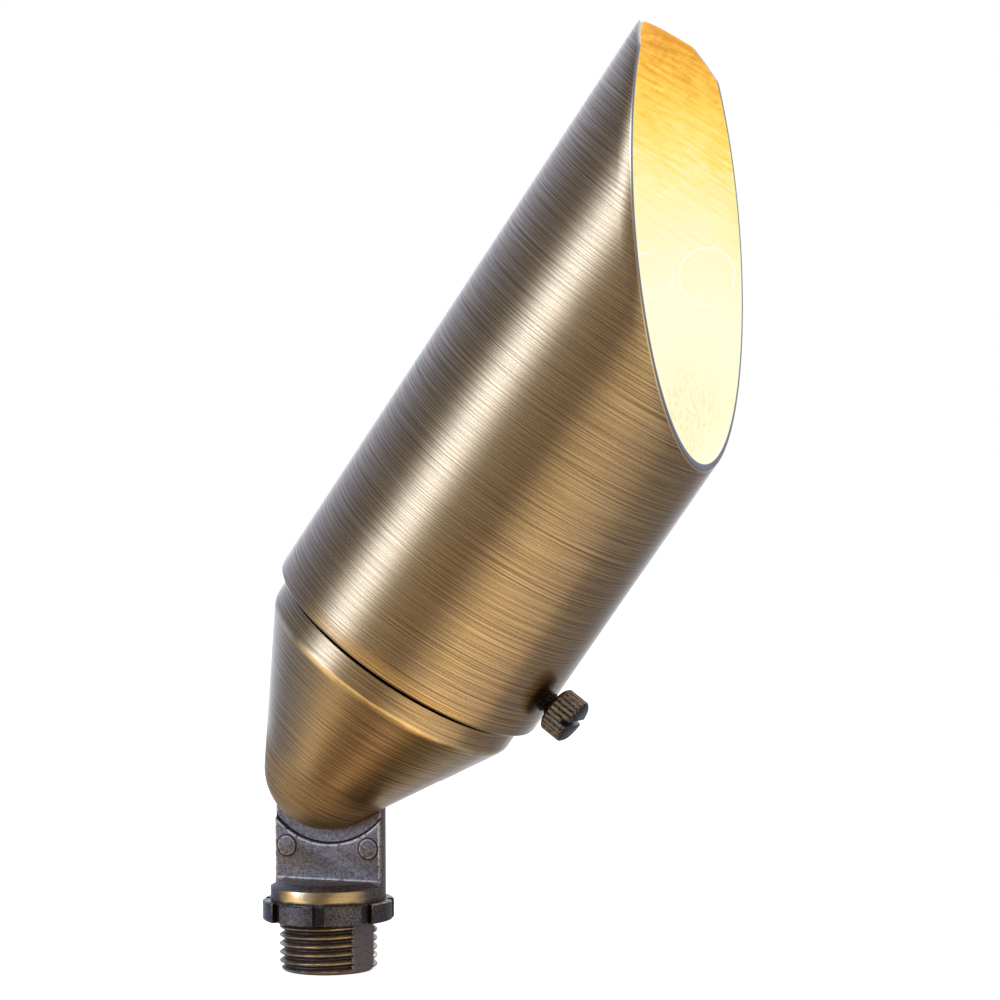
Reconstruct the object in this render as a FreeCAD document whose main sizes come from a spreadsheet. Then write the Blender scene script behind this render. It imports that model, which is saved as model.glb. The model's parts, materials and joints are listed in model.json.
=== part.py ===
"""Adjustable brass garden spotlight: threaded stem, knuckle, turned lamp housing and angle-cut shroud.

Row frame: the origin is on the stem's axis at the lower end of its thread, +Z points up the stem,
+X is the side that the head leans to, and -Y is the front, where the stem has its flat.
Head parts are drawn upright about the knuckle's pivot and then leaned over together.
"""
import FreeCAD, Part
import math
import os

import Sketcher

Vector = FreeCAD.Vector

SIZES = {
    # stem and its thread
    "thread_radius": 10.4,
    "thread_length": 15.0,
    "thread_mate_length": 10.6,
    "thread_relief": 0.2,
    "stem_radius": 12.3,
    "rim_height": 2.8,
    "rim_bevel": 1.1,
    "pivot_height": 43.2,
    "crown_radius": 12.3,
    "pad_height": 0.6,
    "dish_radius": 16.7,
    "cable_bore_radius": 4.0,
    "cable_bore_depth": 16.0,
    "stem_wireway_radius": 2.7,
    "stem_wireway_offset": 5.0,
    "wireway_overlap": 3.0,
    "wireway_rise": 1.0,
    "mark_radius": 2.2,
    "mark_spacing": 19.2,
    "mark_height": 25.9,
    "mark_proud": 0.15,
    # knuckle
    "rest_tilt": 36.25,
    "knuckle_gap": 0.1,
    "chamber_radius": 8.0,
    "chamber_boss_radius": 5.0,
    "stem_chamber_depth": 5.0,
    "lug_chamber_depth": 7.0,
    "screw_radius": 3.0,
    "screw_thread_depth": 10.0,
    "screw_end_gap": 0.6,
    "screw_seat": 7.5,
    "screw_head_radius": 5.0,
    "screw_head_height": 4.4,
    "screw_socket_width": 5.0,
    "screw_socket_depth": 2.4,
    "counterbore_gap": 0.5,
    "running_gap": 0.05,
    "spring_washer_radius": 4.9,
    "spring_washer_thickness": 1.2,
    "knuckle_seal_radius": 10.4,
    "knuckle_seal_section": 0.8,
    "washer_slit": 0.8,
    # lock nut
    "nut_radius": 12.8,
    "nut_lug_radius": 14.0,
    "nut_height": 4.2,
    "nut_slots": 8,
    "nut_slot_width": 2.6,
    "nut_phase": 16.6,
    "nut_seat_gap": 0.05,
    # lamp housing
    "tip_radius": 13.5,
    "cone_half_angle": 28.2,
    "band_radius": "=shroud_radius - shroud_wall - shroud_clearance",
    "shoulder_round": 2.5,
    "lug_disc_radius": 13.3,
    "lug_relief": 0.8,
    "notch_height": 13.5,
    "cavity_floor": 18.0,
    "cavity_floor_radius": "=band_radius - 10.2",
    "cavity_cone_bottom": 20.0,
    "cavity_cone_top": 32.0,
    "cavity_radius": "=band_radius - 3.4",
    "lens_bore_radius": "=band_radius - 2.4",
    "lens_ledge": "=lamp_rim_height + 0.5",
    "neck_top": "=lens_ledge + gasket_thickness + lens_thickness + ring_height",
    "neck_chamfer": 0.6,
    "drip_groove_depth": 1.0,
    "drip_groove_above": 0.4,
    "drip_groove_below": 1.25,
    "head_wireway_radius": 2.6,
    "head_wireway_offset": 7.0,
    "head_wireway_depth": 12.0,
    # neck seals
    "seal_section": 1.2,
    "seal_groove_depth": 1.0,
    "seal_floor_gap": 0.1,
    "seal_groove_width": 2.5,
    "lower_seal_height": 34.9,
    "upper_seal_height": 38.1,
    # shroud
    "shroud_radius": 31.75,
    "shroud_wall": 1.0,
    "shroud_bottom": 32.5,
    "shroud_clearance": 1.55,
    "shroud_length": 135.0,
    "shroud_edge_round": 0.6,
    "mouth_turn": 2.3,
    "mouth_angle": 50.0,
    "tip_flat": 4.2,
    "tip_bevel_run": 6.0,
    "tip_bevel_angle": 29.7,
    # thumb screw
    "thumb_screw_height": 41.8,
    "thumb_shank_radius": 2.45,
    "thumb_head_radius": 5.0,
    "thumb_head_length": 5.6,
    "thumb_head_standoff": 2.0,
    "thumb_head_chamfer": 0.7,
    "thumb_slot_width": 1.2,
    "thumb_slot_depth": 1.6,
    "thumb_tip_radius": 1.9,
    "thumb_tip_face": 1.0,
    "thumb_tip_peg_radius": 1.2,
    "thumb_tip_peg_length": 2.0,
    "touch_gap": 0.03,
    # lens
    "gasket_thickness": 1.0,
    "gasket_inner_radius": "=cavity_radius - 1.2",
    "lens_radius": "=lens_bore_radius - 0.4",
    "lens_thickness": 3.0,
    "ring_inner_radius": "=lens_bore_radius - 2.8",
    "ring_height": 3.0,
    "ring_gap": 0.08,
    "ring_notch_width": 2.5,
    "ring_notch_depth": 1.2,
    # lamp
    "lamp_rim_height": 69.0,
    "lamp_rim_radius": "=cavity_radius - 0.8",
    "lamp_rim_lip": 2.0,
    "lamp_wall": 1.3,
    "lamp_neck_radius": 8.6,
    "lamp_neck_height": 40.0,
    "lamp_glass_thickness": 1.4,
    "lamp_glass_drop": 0.2,
    "lamp_base_length": 15.0,
    "lamp_base_width": 8.6,
    "pin_radius": 0.75,
    "pin_spacing": 5.33,
    "pin_length": 7.5,
    "lamp_collar_height": 1.5,
    "lamp_plug_height": 2.0,
    "emitter_radius": 4.0,
    "emitter_height": 9.0,
    # lampholder
    "holder_length": 17.5,
    "holder_width": 9.5,
    "holder_bottom": 22.6,
    "holder_height": 9.4,
    "contact_radius": 1.6,
    "contact_length": 7.9,
    "bracket_thickness": 1.0,
    "bracket_width": 9.0,
    "bracket_reach": 15.0,
    "bracket_foot": 5.0,
    "bracket_screw_spacing": 26.0,
    "bracket_screw_radius": 1.25,
    "bracket_screw_length": 4.0,
    "bracket_hole_depth": 3.5,
    "bracket_head_radius": 2.2,
    "bracket_head_height": 1.6,
    # leads
    "lead_radius": 0.9,
    "lead_height": 27.5,
    "lead_bend_radius": 3.0,
    "lead_reach": 12.3,
    "lead_top": 33.5,
    "crimp_radius": 1.8,
    "crimp_length": 9.0,
    "crimp_overlap": 3.0,
    "grommet_flange_radius": 4.2,
    "grommet_flange_height": 1.4,
    "grommet_hole_radius": 1.5,
    "grommet_depth": 4.0,
}

doc = FreeCAD.newDocument("garden_spotlight")
sheet = doc.addObject("Spreadsheet::Sheet", "Sizes")
for row, alias in enumerate(SIZES, start=1):
    sheet.set("A%d" % row, alias)
    sheet.setAlias("B%d" % row, alias)
for row, number in enumerate(SIZES.values(), start=1):
    sheet.set("B%d" % row, str(number))
doc.recompute()

PARTS = []

# limits below which a length, an edge's place or a cut's volume counts as nothing
NO_LENGTH = 1e-9
SAME_PLACE = 1e-4
NO_VOLUME = 1e-3


def sized(formula):
    """Write a formula on the sheet's names as an expression."""
    words = []
    name = ""
    for letter in formula + " ":
        if letter.isalnum() or letter == "_":
            name += letter
            continue
        words.append("Sizes." + name if name in SIZES else name)
        words.append(letter)
        name = ""
    return "".join(words).strip()


def value(formula):
    """Work out a formula on the sheet's names."""
    return float(sheet.evalExpression(sized(formula)))


# ---------------------------------------------------------------- sketches

def plane_of(body, role):
    for feature in body.Origin.OriginFeatures:
        if feature.Role == role:
            return feature
    raise RuntimeError("no plane " + role)


def new_sketch(body, name, role, offset=None):
    sketch = body.newObject("Sketcher::SketchObject", name)
    sketch.AttachmentSupport = [(plane_of(body, role), "")]
    sketch.MapMode = "FlatFace"
    if offset:
        sketch.setExpression(".AttachmentOffset.Base.z", sized(offset))
    return sketch


def pin_point(sketch, geometry, point, across, up):
    """Tie one point of a sketch to the sheet, across and up from the sketch's origin."""
    for kind, axis, formula in (("DistanceX", -2, across), ("DistanceY", -1, up)):
        number = value(formula)
        if abs(number) < NO_LENGTH:
            sketch.addConstraint(Sketcher.Constraint("PointOnObject", geometry, point, axis))
            continue
        index = sketch.addConstraint(Sketcher.Constraint(kind, -1, 1, geometry, point, number))
        sketch.setExpression("Constraints[%d]" % index, sized(formula))


def arc_centre(start, end, radius, bulge):
    """Centre of the short arc from start to end that bulges right (1) or left (-1) of the way."""
    along = end - start
    half = along.Length / 2
    right = Vector(along.y, -along.x, 0).normalize()
    reach = math.sqrt(max(radius * radius - half * half, 0))
    return (start + end) * 0.5 - right * (bulge * reach)


def add_outline(sketch, points, arcs=None):
    """Closed outline through pairs of formulas; arcs maps a side to its radius and bulge."""
    arcs = arcs or {}
    places = [Vector(value(across), value(up), 0) for across, up in points]
    count = len(points)
    first = sketch.GeometryCount
    start_of = {}
    end_of = {}
    for side, start in enumerate(places):
        end = places[(side + 1) % count]
        start_of[side], end_of[side] = 1, 2
        if side not in arcs:
            sketch.addGeometry(Part.LineSegment(start, end))
            continue
        formula, bulge = arcs[side]
        centre = arc_centre(start, end, value(formula), bulge)
        angles = [math.atan2(place.y - centre.y, place.x - centre.x) for place in (start, end)]
        if bulge < 0:
            angles.reverse()
            start_of[side], end_of[side] = 2, 1
        if angles[1] < angles[0]:
            angles[1] += 2 * math.pi
        plain = Part.Circle(centre, Vector(0, 0, 1), value(formula))
        sketch.addGeometry(Part.ArcOfCircle(plain, angles[0], angles[1]))
    for side in range(count):
        following = (side + 1) % count
        sketch.addConstraint(Sketcher.Constraint(
            "Coincident", first + side, end_of[side], first + following, start_of[following]))
    for side, (across, up) in enumerate(points):
        pin_point(sketch, first + side, start_of[side], across, up)
    for side, (formula, bulge) in arcs.items():
        index = sketch.addConstraint(Sketcher.Constraint("Radius", first + side, value(formula)))
        sketch.setExpression("Constraints[%d]" % index, sized(formula))


def add_circle(sketch, across, up, radius):
    centre = Vector(value(across), value(up), 0)
    index = sketch.addGeometry(Part.Circle(centre, Vector(0, 0, 1), value(radius)))
    pin_point(sketch, index, 3, across, up)
    size = sketch.addConstraint(Sketcher.Constraint("Radius", index, value(radius)))
    sketch.setExpression("Constraints[%d]" % size, sized(radius))


def outline(points, arcs=None):
    return lambda sketch: add_outline(sketch, points, arcs)


def box(left, bottom, right, top):
    return outline([(left, bottom), (right, bottom), (right, top), (left, top)])


def circles(*rings):
    """Draw circles, each given as across, up and radius."""
    def draw(sketch):
        for across, up, radius in rings:
            add_circle(sketch, across, up, radius)
    return draw


def twins(across, up, *radii):
    """Circles of the given radii, about one centre on each side of the vertical axis."""
    places = [side % across for side in ("(%s)", "-(%s)")]
    return circles(*[(place, up, radius) for place in places for radius in radii])


# ---------------------------------------------------------------- features

def new_body(label):
    body = doc.addObject("PartDesign::Body", label)
    body.Label = label
    PARTS.append(body)
    return body


def turn(body, draw):
    """Turn a drawing of radius and height about the body's Z axis."""
    sketch = new_sketch(body, "Profile", "XZ_Plane")
    draw(sketch)
    turned = body.newObject("PartDesign::Revolution", "Turned")
    turned.Profile = (sketch, [""])
    turned.ReferenceAxis = (sketch, ["V_Axis"])
    turned.Angle = 360
    doc.recompute()
    return turned


def extrude(body, role, draw, length, offset=None, reverse=False):
    """Pad along the plane's normal: +Z of XY, -Y of XZ and +X of YZ, unless reversed."""
    sketch = new_sketch(body, "Section", role, offset)
    draw(sketch)
    pad = body.newObject("PartDesign::Pad", "Padded")
    pad.Profile = (sketch, [""])
    pad.setExpression("Length", sized(length))
    pad.Reversed = reverse
    doc.recompute()
    return pad


def removing(body, kind, role, draw, settings, offset=None, swing=None):
    """Pocket or Groove that has to take material away; swing turns its plane about the upright."""
    before = body.Shape.Volume
    sketch = new_sketch(body, "CutSection", role, offset)
    if swing:
        sketch.AttachmentOffset = FreeCAD.Placement(Vector(0, 0, 0), FreeCAD.Rotation(Vector(0, 1, 0), 1))
        sketch.setExpression(".AttachmentOffset.Rotation.Angle", sized(swing))
        sketch.setExpression(".AttachmentOffset.Base.x", sized("(%s) * sin(%s)" % (offset, swing)))
        sketch.setExpression(".AttachmentOffset.Base.z", sized("(%s) * cos(%s)" % (offset, swing)))
    draw(sketch)
    feature = body.newObject("PartDesign::" + kind, kind)
    feature.Profile = (sketch, [""])
    settings(feature, sketch)
    doc.recompute()
    if body.Shape.Volume > before - NO_VOLUME:
        raise RuntimeError("a %s in %s removes nothing" % (kind, body.Label))
    return feature


def cut(body, role, draw, length, offset=None, reverse=False, swing=None):
    """Pocket against the plane's normal: to -Z of XY, +Y of XZ and -X of YZ, unless reversed."""
    def settings(pocket, sketch):
        pocket.setExpression("Length", sized(length))
        pocket.Reversed = reverse
    return removing(body, "Pocket", role, draw, settings, offset, swing)


def groove(body, draw):
    def settings(ring, sketch):
        ring.ReferenceAxis = (sketch, ["V_Axis"])
        ring.Angle = 360
    return removing(body, "Groove", "XZ_Plane", draw, settings)


def around_axis(body, feature, count):
    """Repeat a feature evenly about the body's Z axis."""
    pattern = body.newObject("PartDesign::PolarPattern", "Around")
    pattern.Originals = [feature]
    pattern.Axis = (plane_of(body, "Z_Axis"), [""])
    pattern.Angle = 360
    pattern.setExpression("Occurrences", sized(count))
    body.Tip = pattern
    doc.recompute()
    return pattern


def round_edges(body, places):
    """Names of the circular edges about the Z axis at the given radii and heights."""
    names = []
    for radius, height in places:
        for index, edge in enumerate(body.Tip.Shape.Edges, start=1):
            if not isinstance(edge.Curve, Part.Circle):
                continue
            centre = edge.Curve.Center
            miss = max(abs(centre.x), abs(centre.y), abs(centre.z - value(height)),
                       abs(edge.Curve.Radius - value(radius)))
            if miss < SAME_PLACE:
                names.append("Edge%d" % index)
    if len(names) < len(places):
        raise RuntimeError("an edge is missing on " + body.Label)
    return names


def dress(body, kind, places, size):
    """Fillet or Chamfer on round edges."""
    edges = round_edges(body, places)
    base = body.Tip
    feature = body.newObject("PartDesign::" + kind, kind)
    feature.Base = (base, edges)
    feature.setExpression("Radius" if kind == "Fillet" else "Size", sized(size))
    doc.recompute()
    return feature


# ---------------------------------------------------------------- placing

def place(part, axis, angle, **base):
    """Turn a part about one axis and move it, both by formulas."""
    part.Placement = FreeCAD.Placement(Vector(0, 0, 0), FreeCAD.Rotation(axis, 1))
    part.setExpression(".Placement.Rotation.Angle", sized(angle))
    for letter, formula in base.items():
        part.setExpression(".Placement.Base." + letter, sized(formula))
    return part


def lean(part):
    """Seat a part that is drawn upright about the pivot on the leaning head."""
    return place(part, Vector(0, 1, 0), "rest_tilt", z="pivot_height")


# ---------------------------------------------------------------- stem and knuckle

def make_stem():
    """Threaded stem: bevelled rim, half-round tongue, dished front pad and a way for the cable."""
    body = new_body("stem")
    rim_top = "thread_length + rim_height"
    ledge = "thread_length + rim_height + rim_bevel"
    relief = "thread_radius - thread_relief"
    turn(body, outline([("0", "0"), ("thread_radius", "0"), ("thread_radius", "thread_mate_length"),
                        (relief, "thread_mate_length"), (relief, "thread_length"),
                        ("stem_radius", "thread_length"), ("stem_radius", rim_top),
                        ("stem_radius - 2 * rim_bevel", ledge), ("0", ledge)]))
    half_width = "sqrt(stem_radius * stem_radius - pad_height * pad_height)"
    extrude(body, "XY_Plane", outline(
        [(half_width, "-pad_height"), ("0", "stem_radius"), ("-" + half_width, "-pad_height")],
        {0: ("stem_radius", 1), 1: ("stem_radius", 1)}),
        "pivot_height + crown_radius - thread_length", offset="thread_length")
    cut(body, "XZ_Plane", outline(
        [("crown_radius", "pivot_height"), ("0", "pivot_height + crown_radius"),
         ("-crown_radius", "pivot_height"), ("-2 * crown_radius", "pivot_height"),
         ("-2 * crown_radius", "pivot_height + 2 * crown_radius"),
         ("2 * crown_radius", "pivot_height + 2 * crown_radius"),
         ("2 * crown_radius", "pivot_height")],
        {0: ("crown_radius", 1), 1: ("crown_radius", 1)}),
        "4 * stem_radius", offset="2 * stem_radius")
    cut(body, "XZ_Plane", circles(("0", "pivot_height", "dish_radius")),
        "2 * pad_height", offset="2 * pad_height")
    extrude(body, "XZ_Plane", twins("mark_spacing / 2", "mark_height", "mark_radius"),
            "mark_proud", offset="pad_height")
    cut(body, "XZ_Plane", circles(("0", "pivot_height", "chamber_radius"),
                                  ("0", "pivot_height", "chamber_boss_radius")), "stem_chamber_depth")
    seal_half = "(knuckle_seal_section + running_gap)"
    cut(body, "XZ_Plane", circles(("0", "pivot_height", "knuckle_seal_radius + " + seal_half),
                                  ("0", "pivot_height", "knuckle_seal_radius - " + seal_half)),
        "2 * knuckle_seal_section")
    cut(body, "XZ_Plane", circles(("0", "pivot_height", "screw_radius + running_gap")), "2 * stem_radius")
    cut(body, "XZ_Plane", circles(("0", "pivot_height", "screw_head_radius + counterbore_gap")),
        "2 * stem_radius", offset="-screw_seat")
    cut(body, "XY_Plane", circles(("0", "0", "cable_bore_radius")), "cable_bore_depth", reverse=True)
    cut(body, "XY_Plane", circles(("0", "stem_wireway_offset", "stem_wireway_radius")),
        "pivot_height - chamber_radius + wireway_rise - cable_bore_depth + wireway_overlap",
        offset="cable_bore_depth - wireway_overlap", reverse=True)
    return body


def make_knuckle_screw():
    """Socket screw from the back of the tongue into the head's lug, drawn along Z from its seat."""
    body = new_body("knuckle_screw")
    length = "screw_seat + spring_washer_thickness + knuckle_gap + screw_thread_depth - screw_end_gap"
    turn(body, outline([("0", "-screw_head_height"), ("screw_head_radius", "-screw_head_height"),
                        ("screw_head_radius", "0"), ("screw_radius", "0"),
                        ("screw_radius", length), ("0", length)]))
    corner = "screw_socket_width / sqrt(3)"
    hexagon = [("%s * cos(%d)" % (corner, angle), "%s * sin(%d)" % (corner, angle))
               for angle in range(30, 390, 60)]
    cut(body, "XY_Plane", outline(hexagon), "screw_socket_depth",
        offset="-screw_head_height", reverse=True)
    return place(body, Vector(1, 0, 0), "90", y="screw_seat + spring_washer_thickness", z="pivot_height")


def make_spring_washer():
    body = new_body("spring_washer")
    extrude(body, "XY_Plane", circles(("0", "0", "spring_washer_radius"),
                                      ("0", "0", "screw_radius + 2 * running_gap")),
            "spring_washer_thickness", reverse=True)
    cut(body, "XY_Plane", box("0", "-washer_slit / 2", "2 * spring_washer_radius", "washer_slit / 2"),
        "2 * spring_washer_thickness", offset="spring_washer_thickness / 2")
    return place(body, Vector(1, 0, 0), "-90", y="screw_seat + spring_washer_thickness",
                 z="pivot_height")


def make_knuckle_seal():
    """Rubber ring that keeps water out of the cable's way through the knuckle."""
    body = new_body("knuckle_seal")
    turn(body, circles(("knuckle_seal_radius", "0", "knuckle_seal_section")))
    return place(body, Vector(1, 0, 0), "90", y="knuckle_seal_section", z="pivot_height")


def make_lock_nut():
    """Round nut with slots between its lugs, run up the thread against the rim."""
    body = new_body("lock_nut")
    top = "thread_length - nut_seat_gap"
    bottom = top + " - nut_height"
    turn(body, box("thread_radius - thread_relief + running_gap", bottom, "nut_lug_radius", top))
    slot = cut(body, "XY_Plane", box("nut_radius", "-nut_slot_width / 2",
                                     "2 * nut_radius", "nut_slot_width / 2"),
               "2 * nut_height", offset=bottom + " - nut_height / 2", reverse=True)
    around_axis(body, slot, "nut_slots")
    return place(body, Vector(0, 0, 1), "nut_phase")


# ---------------------------------------------------------------- lamp housing

def make_housing():
    """Turned shell: ball tip cut to a half lug, cone, band, grooved neck, stepped bore.

    The groove at the shroud's foot sheds rain and shows as a dark line; the two above it hold seals.
    """
    body = new_body("housing")
    tangent_radius = "tip_radius * cos(cone_half_angle)"
    tangent_height = "-tip_radius * sin(cone_half_angle)"
    band_start = "(band_radius - %s) / tan(cone_half_angle) %s" % (tangent_radius, tangent_height)
    turn(body, outline([
        ("0", tangent_height), (tangent_radius, tangent_height), ("band_radius", band_start),
        ("band_radius", "neck_top"), ("lens_bore_radius", "neck_top"),
        ("lens_bore_radius", "lens_ledge"), ("cavity_radius", "lens_ledge"),
        ("cavity_radius", "cavity_cone_top"), ("cavity_floor_radius", "cavity_cone_bottom"),
        ("cavity_floor_radius", "cavity_floor"), ("0", "cavity_floor")]))
    dress(body, "Fillet", [("band_radius", band_start)], "shoulder_round")
    dress(body, "Chamfer", [("band_radius", "neck_top")], "neck_chamfer")
    ball = body.newObject("PartDesign::AdditiveSphere", "BallTip")
    ball.setExpression("Radius", sized("tip_radius"))
    doc.recompute()
    for height in ("lower_seal_height", "upper_seal_height"):
        groove(body, box("band_radius - seal_groove_depth", height + " - seal_groove_width / 2",
                         "band_radius + seal_groove_depth", height + " + seal_groove_width / 2"))
    groove(body, box("band_radius - drip_groove_depth", "shroud_bottom - drip_groove_below",
                     "band_radius + drip_groove_depth", "shroud_bottom + drip_groove_above"))
    wide = "2 * band_radius"
    cut(body, "XZ_Plane", box("-" + wide, "-" + wide, wide, "notch_height"),
        "4 * band_radius", offset="lug_relief")
    extrude(body, "XZ_Plane", circles(("0", "0", "lug_disc_radius")),
            "lug_relief - knuckle_gap", offset="lug_relief", reverse=True)
    cut(body, "XZ_Plane", circles(("0", "0", "chamber_radius"), ("0", "0", "chamber_boss_radius")),
        "lug_chamber_depth", offset="knuckle_gap", reverse=True)
    cut(body, "XZ_Plane", circles(("0", "0", "screw_radius + running_gap")),
        "screw_thread_depth", offset="knuckle_gap", reverse=True)
    cut(body, "XY_Plane", circles(("0", "-head_wireway_offset", "head_wireway_radius")),
        "head_wireway_depth", offset="cavity_floor")
    cut(body, "XY_Plane", twins("bracket_screw_spacing / 2", "0", "bracket_screw_radius + running_gap"),
        "bracket_hole_depth", offset="cavity_floor")
    return lean(body)


def make_neck_seals():
    """Two rubber rings in the neck's grooves that grip and seal the shroud."""
    body = new_body("neck_seals")
    centre = "band_radius - seal_groove_depth + seal_floor_gap + seal_section"
    turn(body, circles((centre, "lower_seal_height", "seal_section"),
                       (centre, "upper_seal_height", "seal_section")))
    return lean(body)


def make_lens():
    """Gasket, glass and screwed ring in the mouth of the neck."""
    gasket_top = "lens_ledge + gasket_thickness"
    lens_top = gasket_top + " + lens_thickness"
    gasket = new_body("lens_gasket")
    turn(gasket, box("gasket_inner_radius", "lens_ledge", "lens_radius", gasket_top))
    lens = new_body("lens")
    turn(lens, box("0", gasket_top, "lens_radius", lens_top))
    ring = new_body("lens_ring")
    ring_top = lens_top + " + ring_height"
    turn(ring, box("ring_inner_radius", lens_top, "lens_bore_radius - ring_gap", ring_top))
    cut(ring, "XY_Plane", box("-2 * lens_radius", "-ring_notch_width / 2",
                              "2 * lens_radius", "ring_notch_width / 2"),
        "ring_notch_depth", offset=ring_top)
    for part in (gasket, lens, ring):
        lean(part)


# ---------------------------------------------------------------- shroud and thumb screw

def mouth_section():
    """Outline of what the mouth's cut takes away: above the level tip, a short bevel and a long slant."""
    tip = "(shroud_bottom + shroud_length)"
    tip_end = "tip_flat - shroud_radius"
    corner = "(tip_flat + tip_bevel_run - shroud_radius)"
    corner_height = tip + " - tip_bevel_run * tan(tip_bevel_angle)"
    reach = "2 * shroud_radius"
    above = tip + " + 2 * shroud_radius"
    return outline([
        (reach, corner_height + " - (2 * shroud_radius - %s) * tan(mouth_angle)" % corner),
        (corner, corner_height), (tip_end, tip), ("-" + reach, tip), ("-" + reach, above), (reach, above)])


def make_shroud():
    """Thin tube that slides on the neck, its mouth cut at a slant and its tip left level."""
    body = new_body("shroud")
    bore = "shroud_radius - shroud_wall"
    blank_top = "shroud_bottom + shroud_length + shroud_wall"
    turn(body, box(bore, "shroud_bottom", "shroud_radius", blank_top))
    dress(body, "Fillet", [("shroud_radius", "shroud_bottom")], "shroud_edge_round")
    cut(body, "XZ_Plane", mouth_section(), "4 * shroud_radius", offset="2 * shroud_radius",
        swing="-mouth_turn")
    cut(body, "YZ_Plane", circles(("0", "thumb_screw_height", "thumb_shank_radius + running_gap")),
        "2 * shroud_radius", reverse=True)
    return lean(body)


def point_outwards(part):
    """Seat a part drawn along Z from the head's axis so that it points out at the lean side."""
    return place(part, Vector(0, 1, 0), "rest_tilt + 90", x="thumb_screw_height * sin(rest_tilt)",
                 z="pivot_height + thumb_screw_height * cos(rest_tilt)")


def make_thumb_screw():
    """Slotted thumb screw through the shroud's wall, and the soft tip that bears on the neck."""
    tip_face = "band_radius + touch_gap"
    inner_end = tip_face + " + thumb_tip_face"
    head_back = "shroud_radius + thumb_head_standoff"
    head_front = head_back + " + thumb_head_length"
    screw = new_body("thumb_screw")
    turn(screw, outline([("0", inner_end), ("thumb_shank_radius", inner_end),
                         ("thumb_shank_radius", head_back), ("thumb_head_radius", head_back),
                         ("thumb_head_radius", head_front), ("0", head_front)]))
    dress(screw, "Chamfer", [("thumb_head_radius", head_back), ("thumb_head_radius", head_front)],
          "thumb_head_chamfer")
    cut(screw, "XY_Plane", box("-thumb_slot_width / 2", "-2 * thumb_head_radius",
                               "thumb_slot_width / 2", "2 * thumb_head_radius"),
        "thumb_slot_depth", offset=head_front)
    cut(screw, "XY_Plane", circles(("0", "0", "thumb_tip_peg_radius + running_gap")),
        "thumb_tip_peg_length + touch_gap", offset=inner_end, reverse=True)
    tip = new_body("thumb_screw_tip")
    peg_end = inner_end + " + thumb_tip_peg_length"
    turn(tip, outline([("0", tip_face), ("thumb_tip_radius", tip_face), ("thumb_tip_radius", inner_end),
                       ("thumb_tip_peg_radius", inner_end), ("thumb_tip_peg_radius", peg_end),
                       ("0", peg_end)]))
    point_outwards(screw)
    point_outwards(tip)


# ---------------------------------------------------------------- lamp

# shares of the reflector's depth and width where its bands of facets meet
DISH_BANDS = ((0.0, 0.0), (0.12, 0.35), (0.36, 0.62), (0.66, 0.83), (1.0, 1.0))


def make_lamp():
    """Reflector lamp with two pins: dish, front glass, base, pins and light source."""
    dish_top = "lamp_rim_height - lamp_rim_lip"
    inner_rim = "lamp_rim_radius - lamp_wall"
    inner_neck = "lamp_neck_radius - lamp_wall"
    outside = [("lamp_neck_radius + (lamp_rim_radius - lamp_neck_radius) * %s" % width,
                "lamp_neck_height + (%s - lamp_neck_height) * %s" % (dish_top, rise))
               for rise, width in DISH_BANDS]
    inside = [(radius + " - lamp_wall", height) for radius, height in reversed(outside)]
    dish = new_body("lamp_reflector")
    turn(dish, outline(outside + [("lamp_rim_radius", "lamp_rim_height"),
                                  (inner_rim, "lamp_rim_height")] + inside))
    glass = new_body("lamp_glass")
    turn(glass, box("0", "lamp_rim_height - lamp_glass_drop - lamp_glass_thickness",
                    inner_rim + " - running_gap", "lamp_rim_height - lamp_glass_drop"))
    base = new_body("lamp_base")
    collar = "lamp_neck_height - lamp_collar_height"
    plug = "lamp_neck_height + lamp_plug_height"
    turn(base, outline([("0", collar), ("lamp_neck_radius", collar),
                        ("lamp_neck_radius", "lamp_neck_height"), (inner_neck, "lamp_neck_height"),
                        (inner_neck, plug), ("0", plug)]))
    bottom = "holder_bottom + holder_height"
    extrude(base, "XY_Plane", box("-lamp_base_length / 2", "-lamp_base_width / 2",
                                  "lamp_base_length / 2", "lamp_base_width / 2"),
            "%s - (%s)" % (collar, bottom), offset=bottom)
    pins = new_body("lamp_pins")
    extrude(pins, "XY_Plane", twins("pin_spacing / 2", "0", "pin_radius"), "pin_length",
            offset=bottom, reverse=True)
    emitter = new_body("lamp_emitter")
    shoulder = "%s + emitter_height - emitter_radius" % plug
    turn(emitter, outline([("0", plug), ("emitter_radius", plug), ("emitter_radius", shoulder),
                           ("0", plug + " + emitter_height")], {2: ("emitter_radius", 1)}))
    for part in (dish, glass, base, pins, emitter):
        lean(part)


# ---------------------------------------------------------------- lampholder

def make_lampholder():
    """Ceramic holder with two sleeve contacts and side holes for the leads."""
    holder = new_body("lampholder")
    top = "holder_bottom + holder_height"
    extrude(holder, "XY_Plane", box("-holder_length / 2", "-holder_width / 2",
                                    "holder_length / 2", "holder_width / 2"),
            "holder_height", offset="holder_bottom")
    cut(holder, "XY_Plane", twins("pin_spacing / 2", "0", "contact_radius"), "contact_length", offset=top)
    cut(holder, "XZ_Plane", twins("pin_spacing / 2", "lead_height", "lead_radius"), "holder_width")
    contacts = new_body("lampholder_contacts")
    extrude(contacts, "XY_Plane", twins("pin_spacing / 2", "0", "contact_radius",
                                        "pin_radius + running_gap"),
            "contact_length", offset=top, reverse=True)
    lean(holder)
    lean(contacts)


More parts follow.
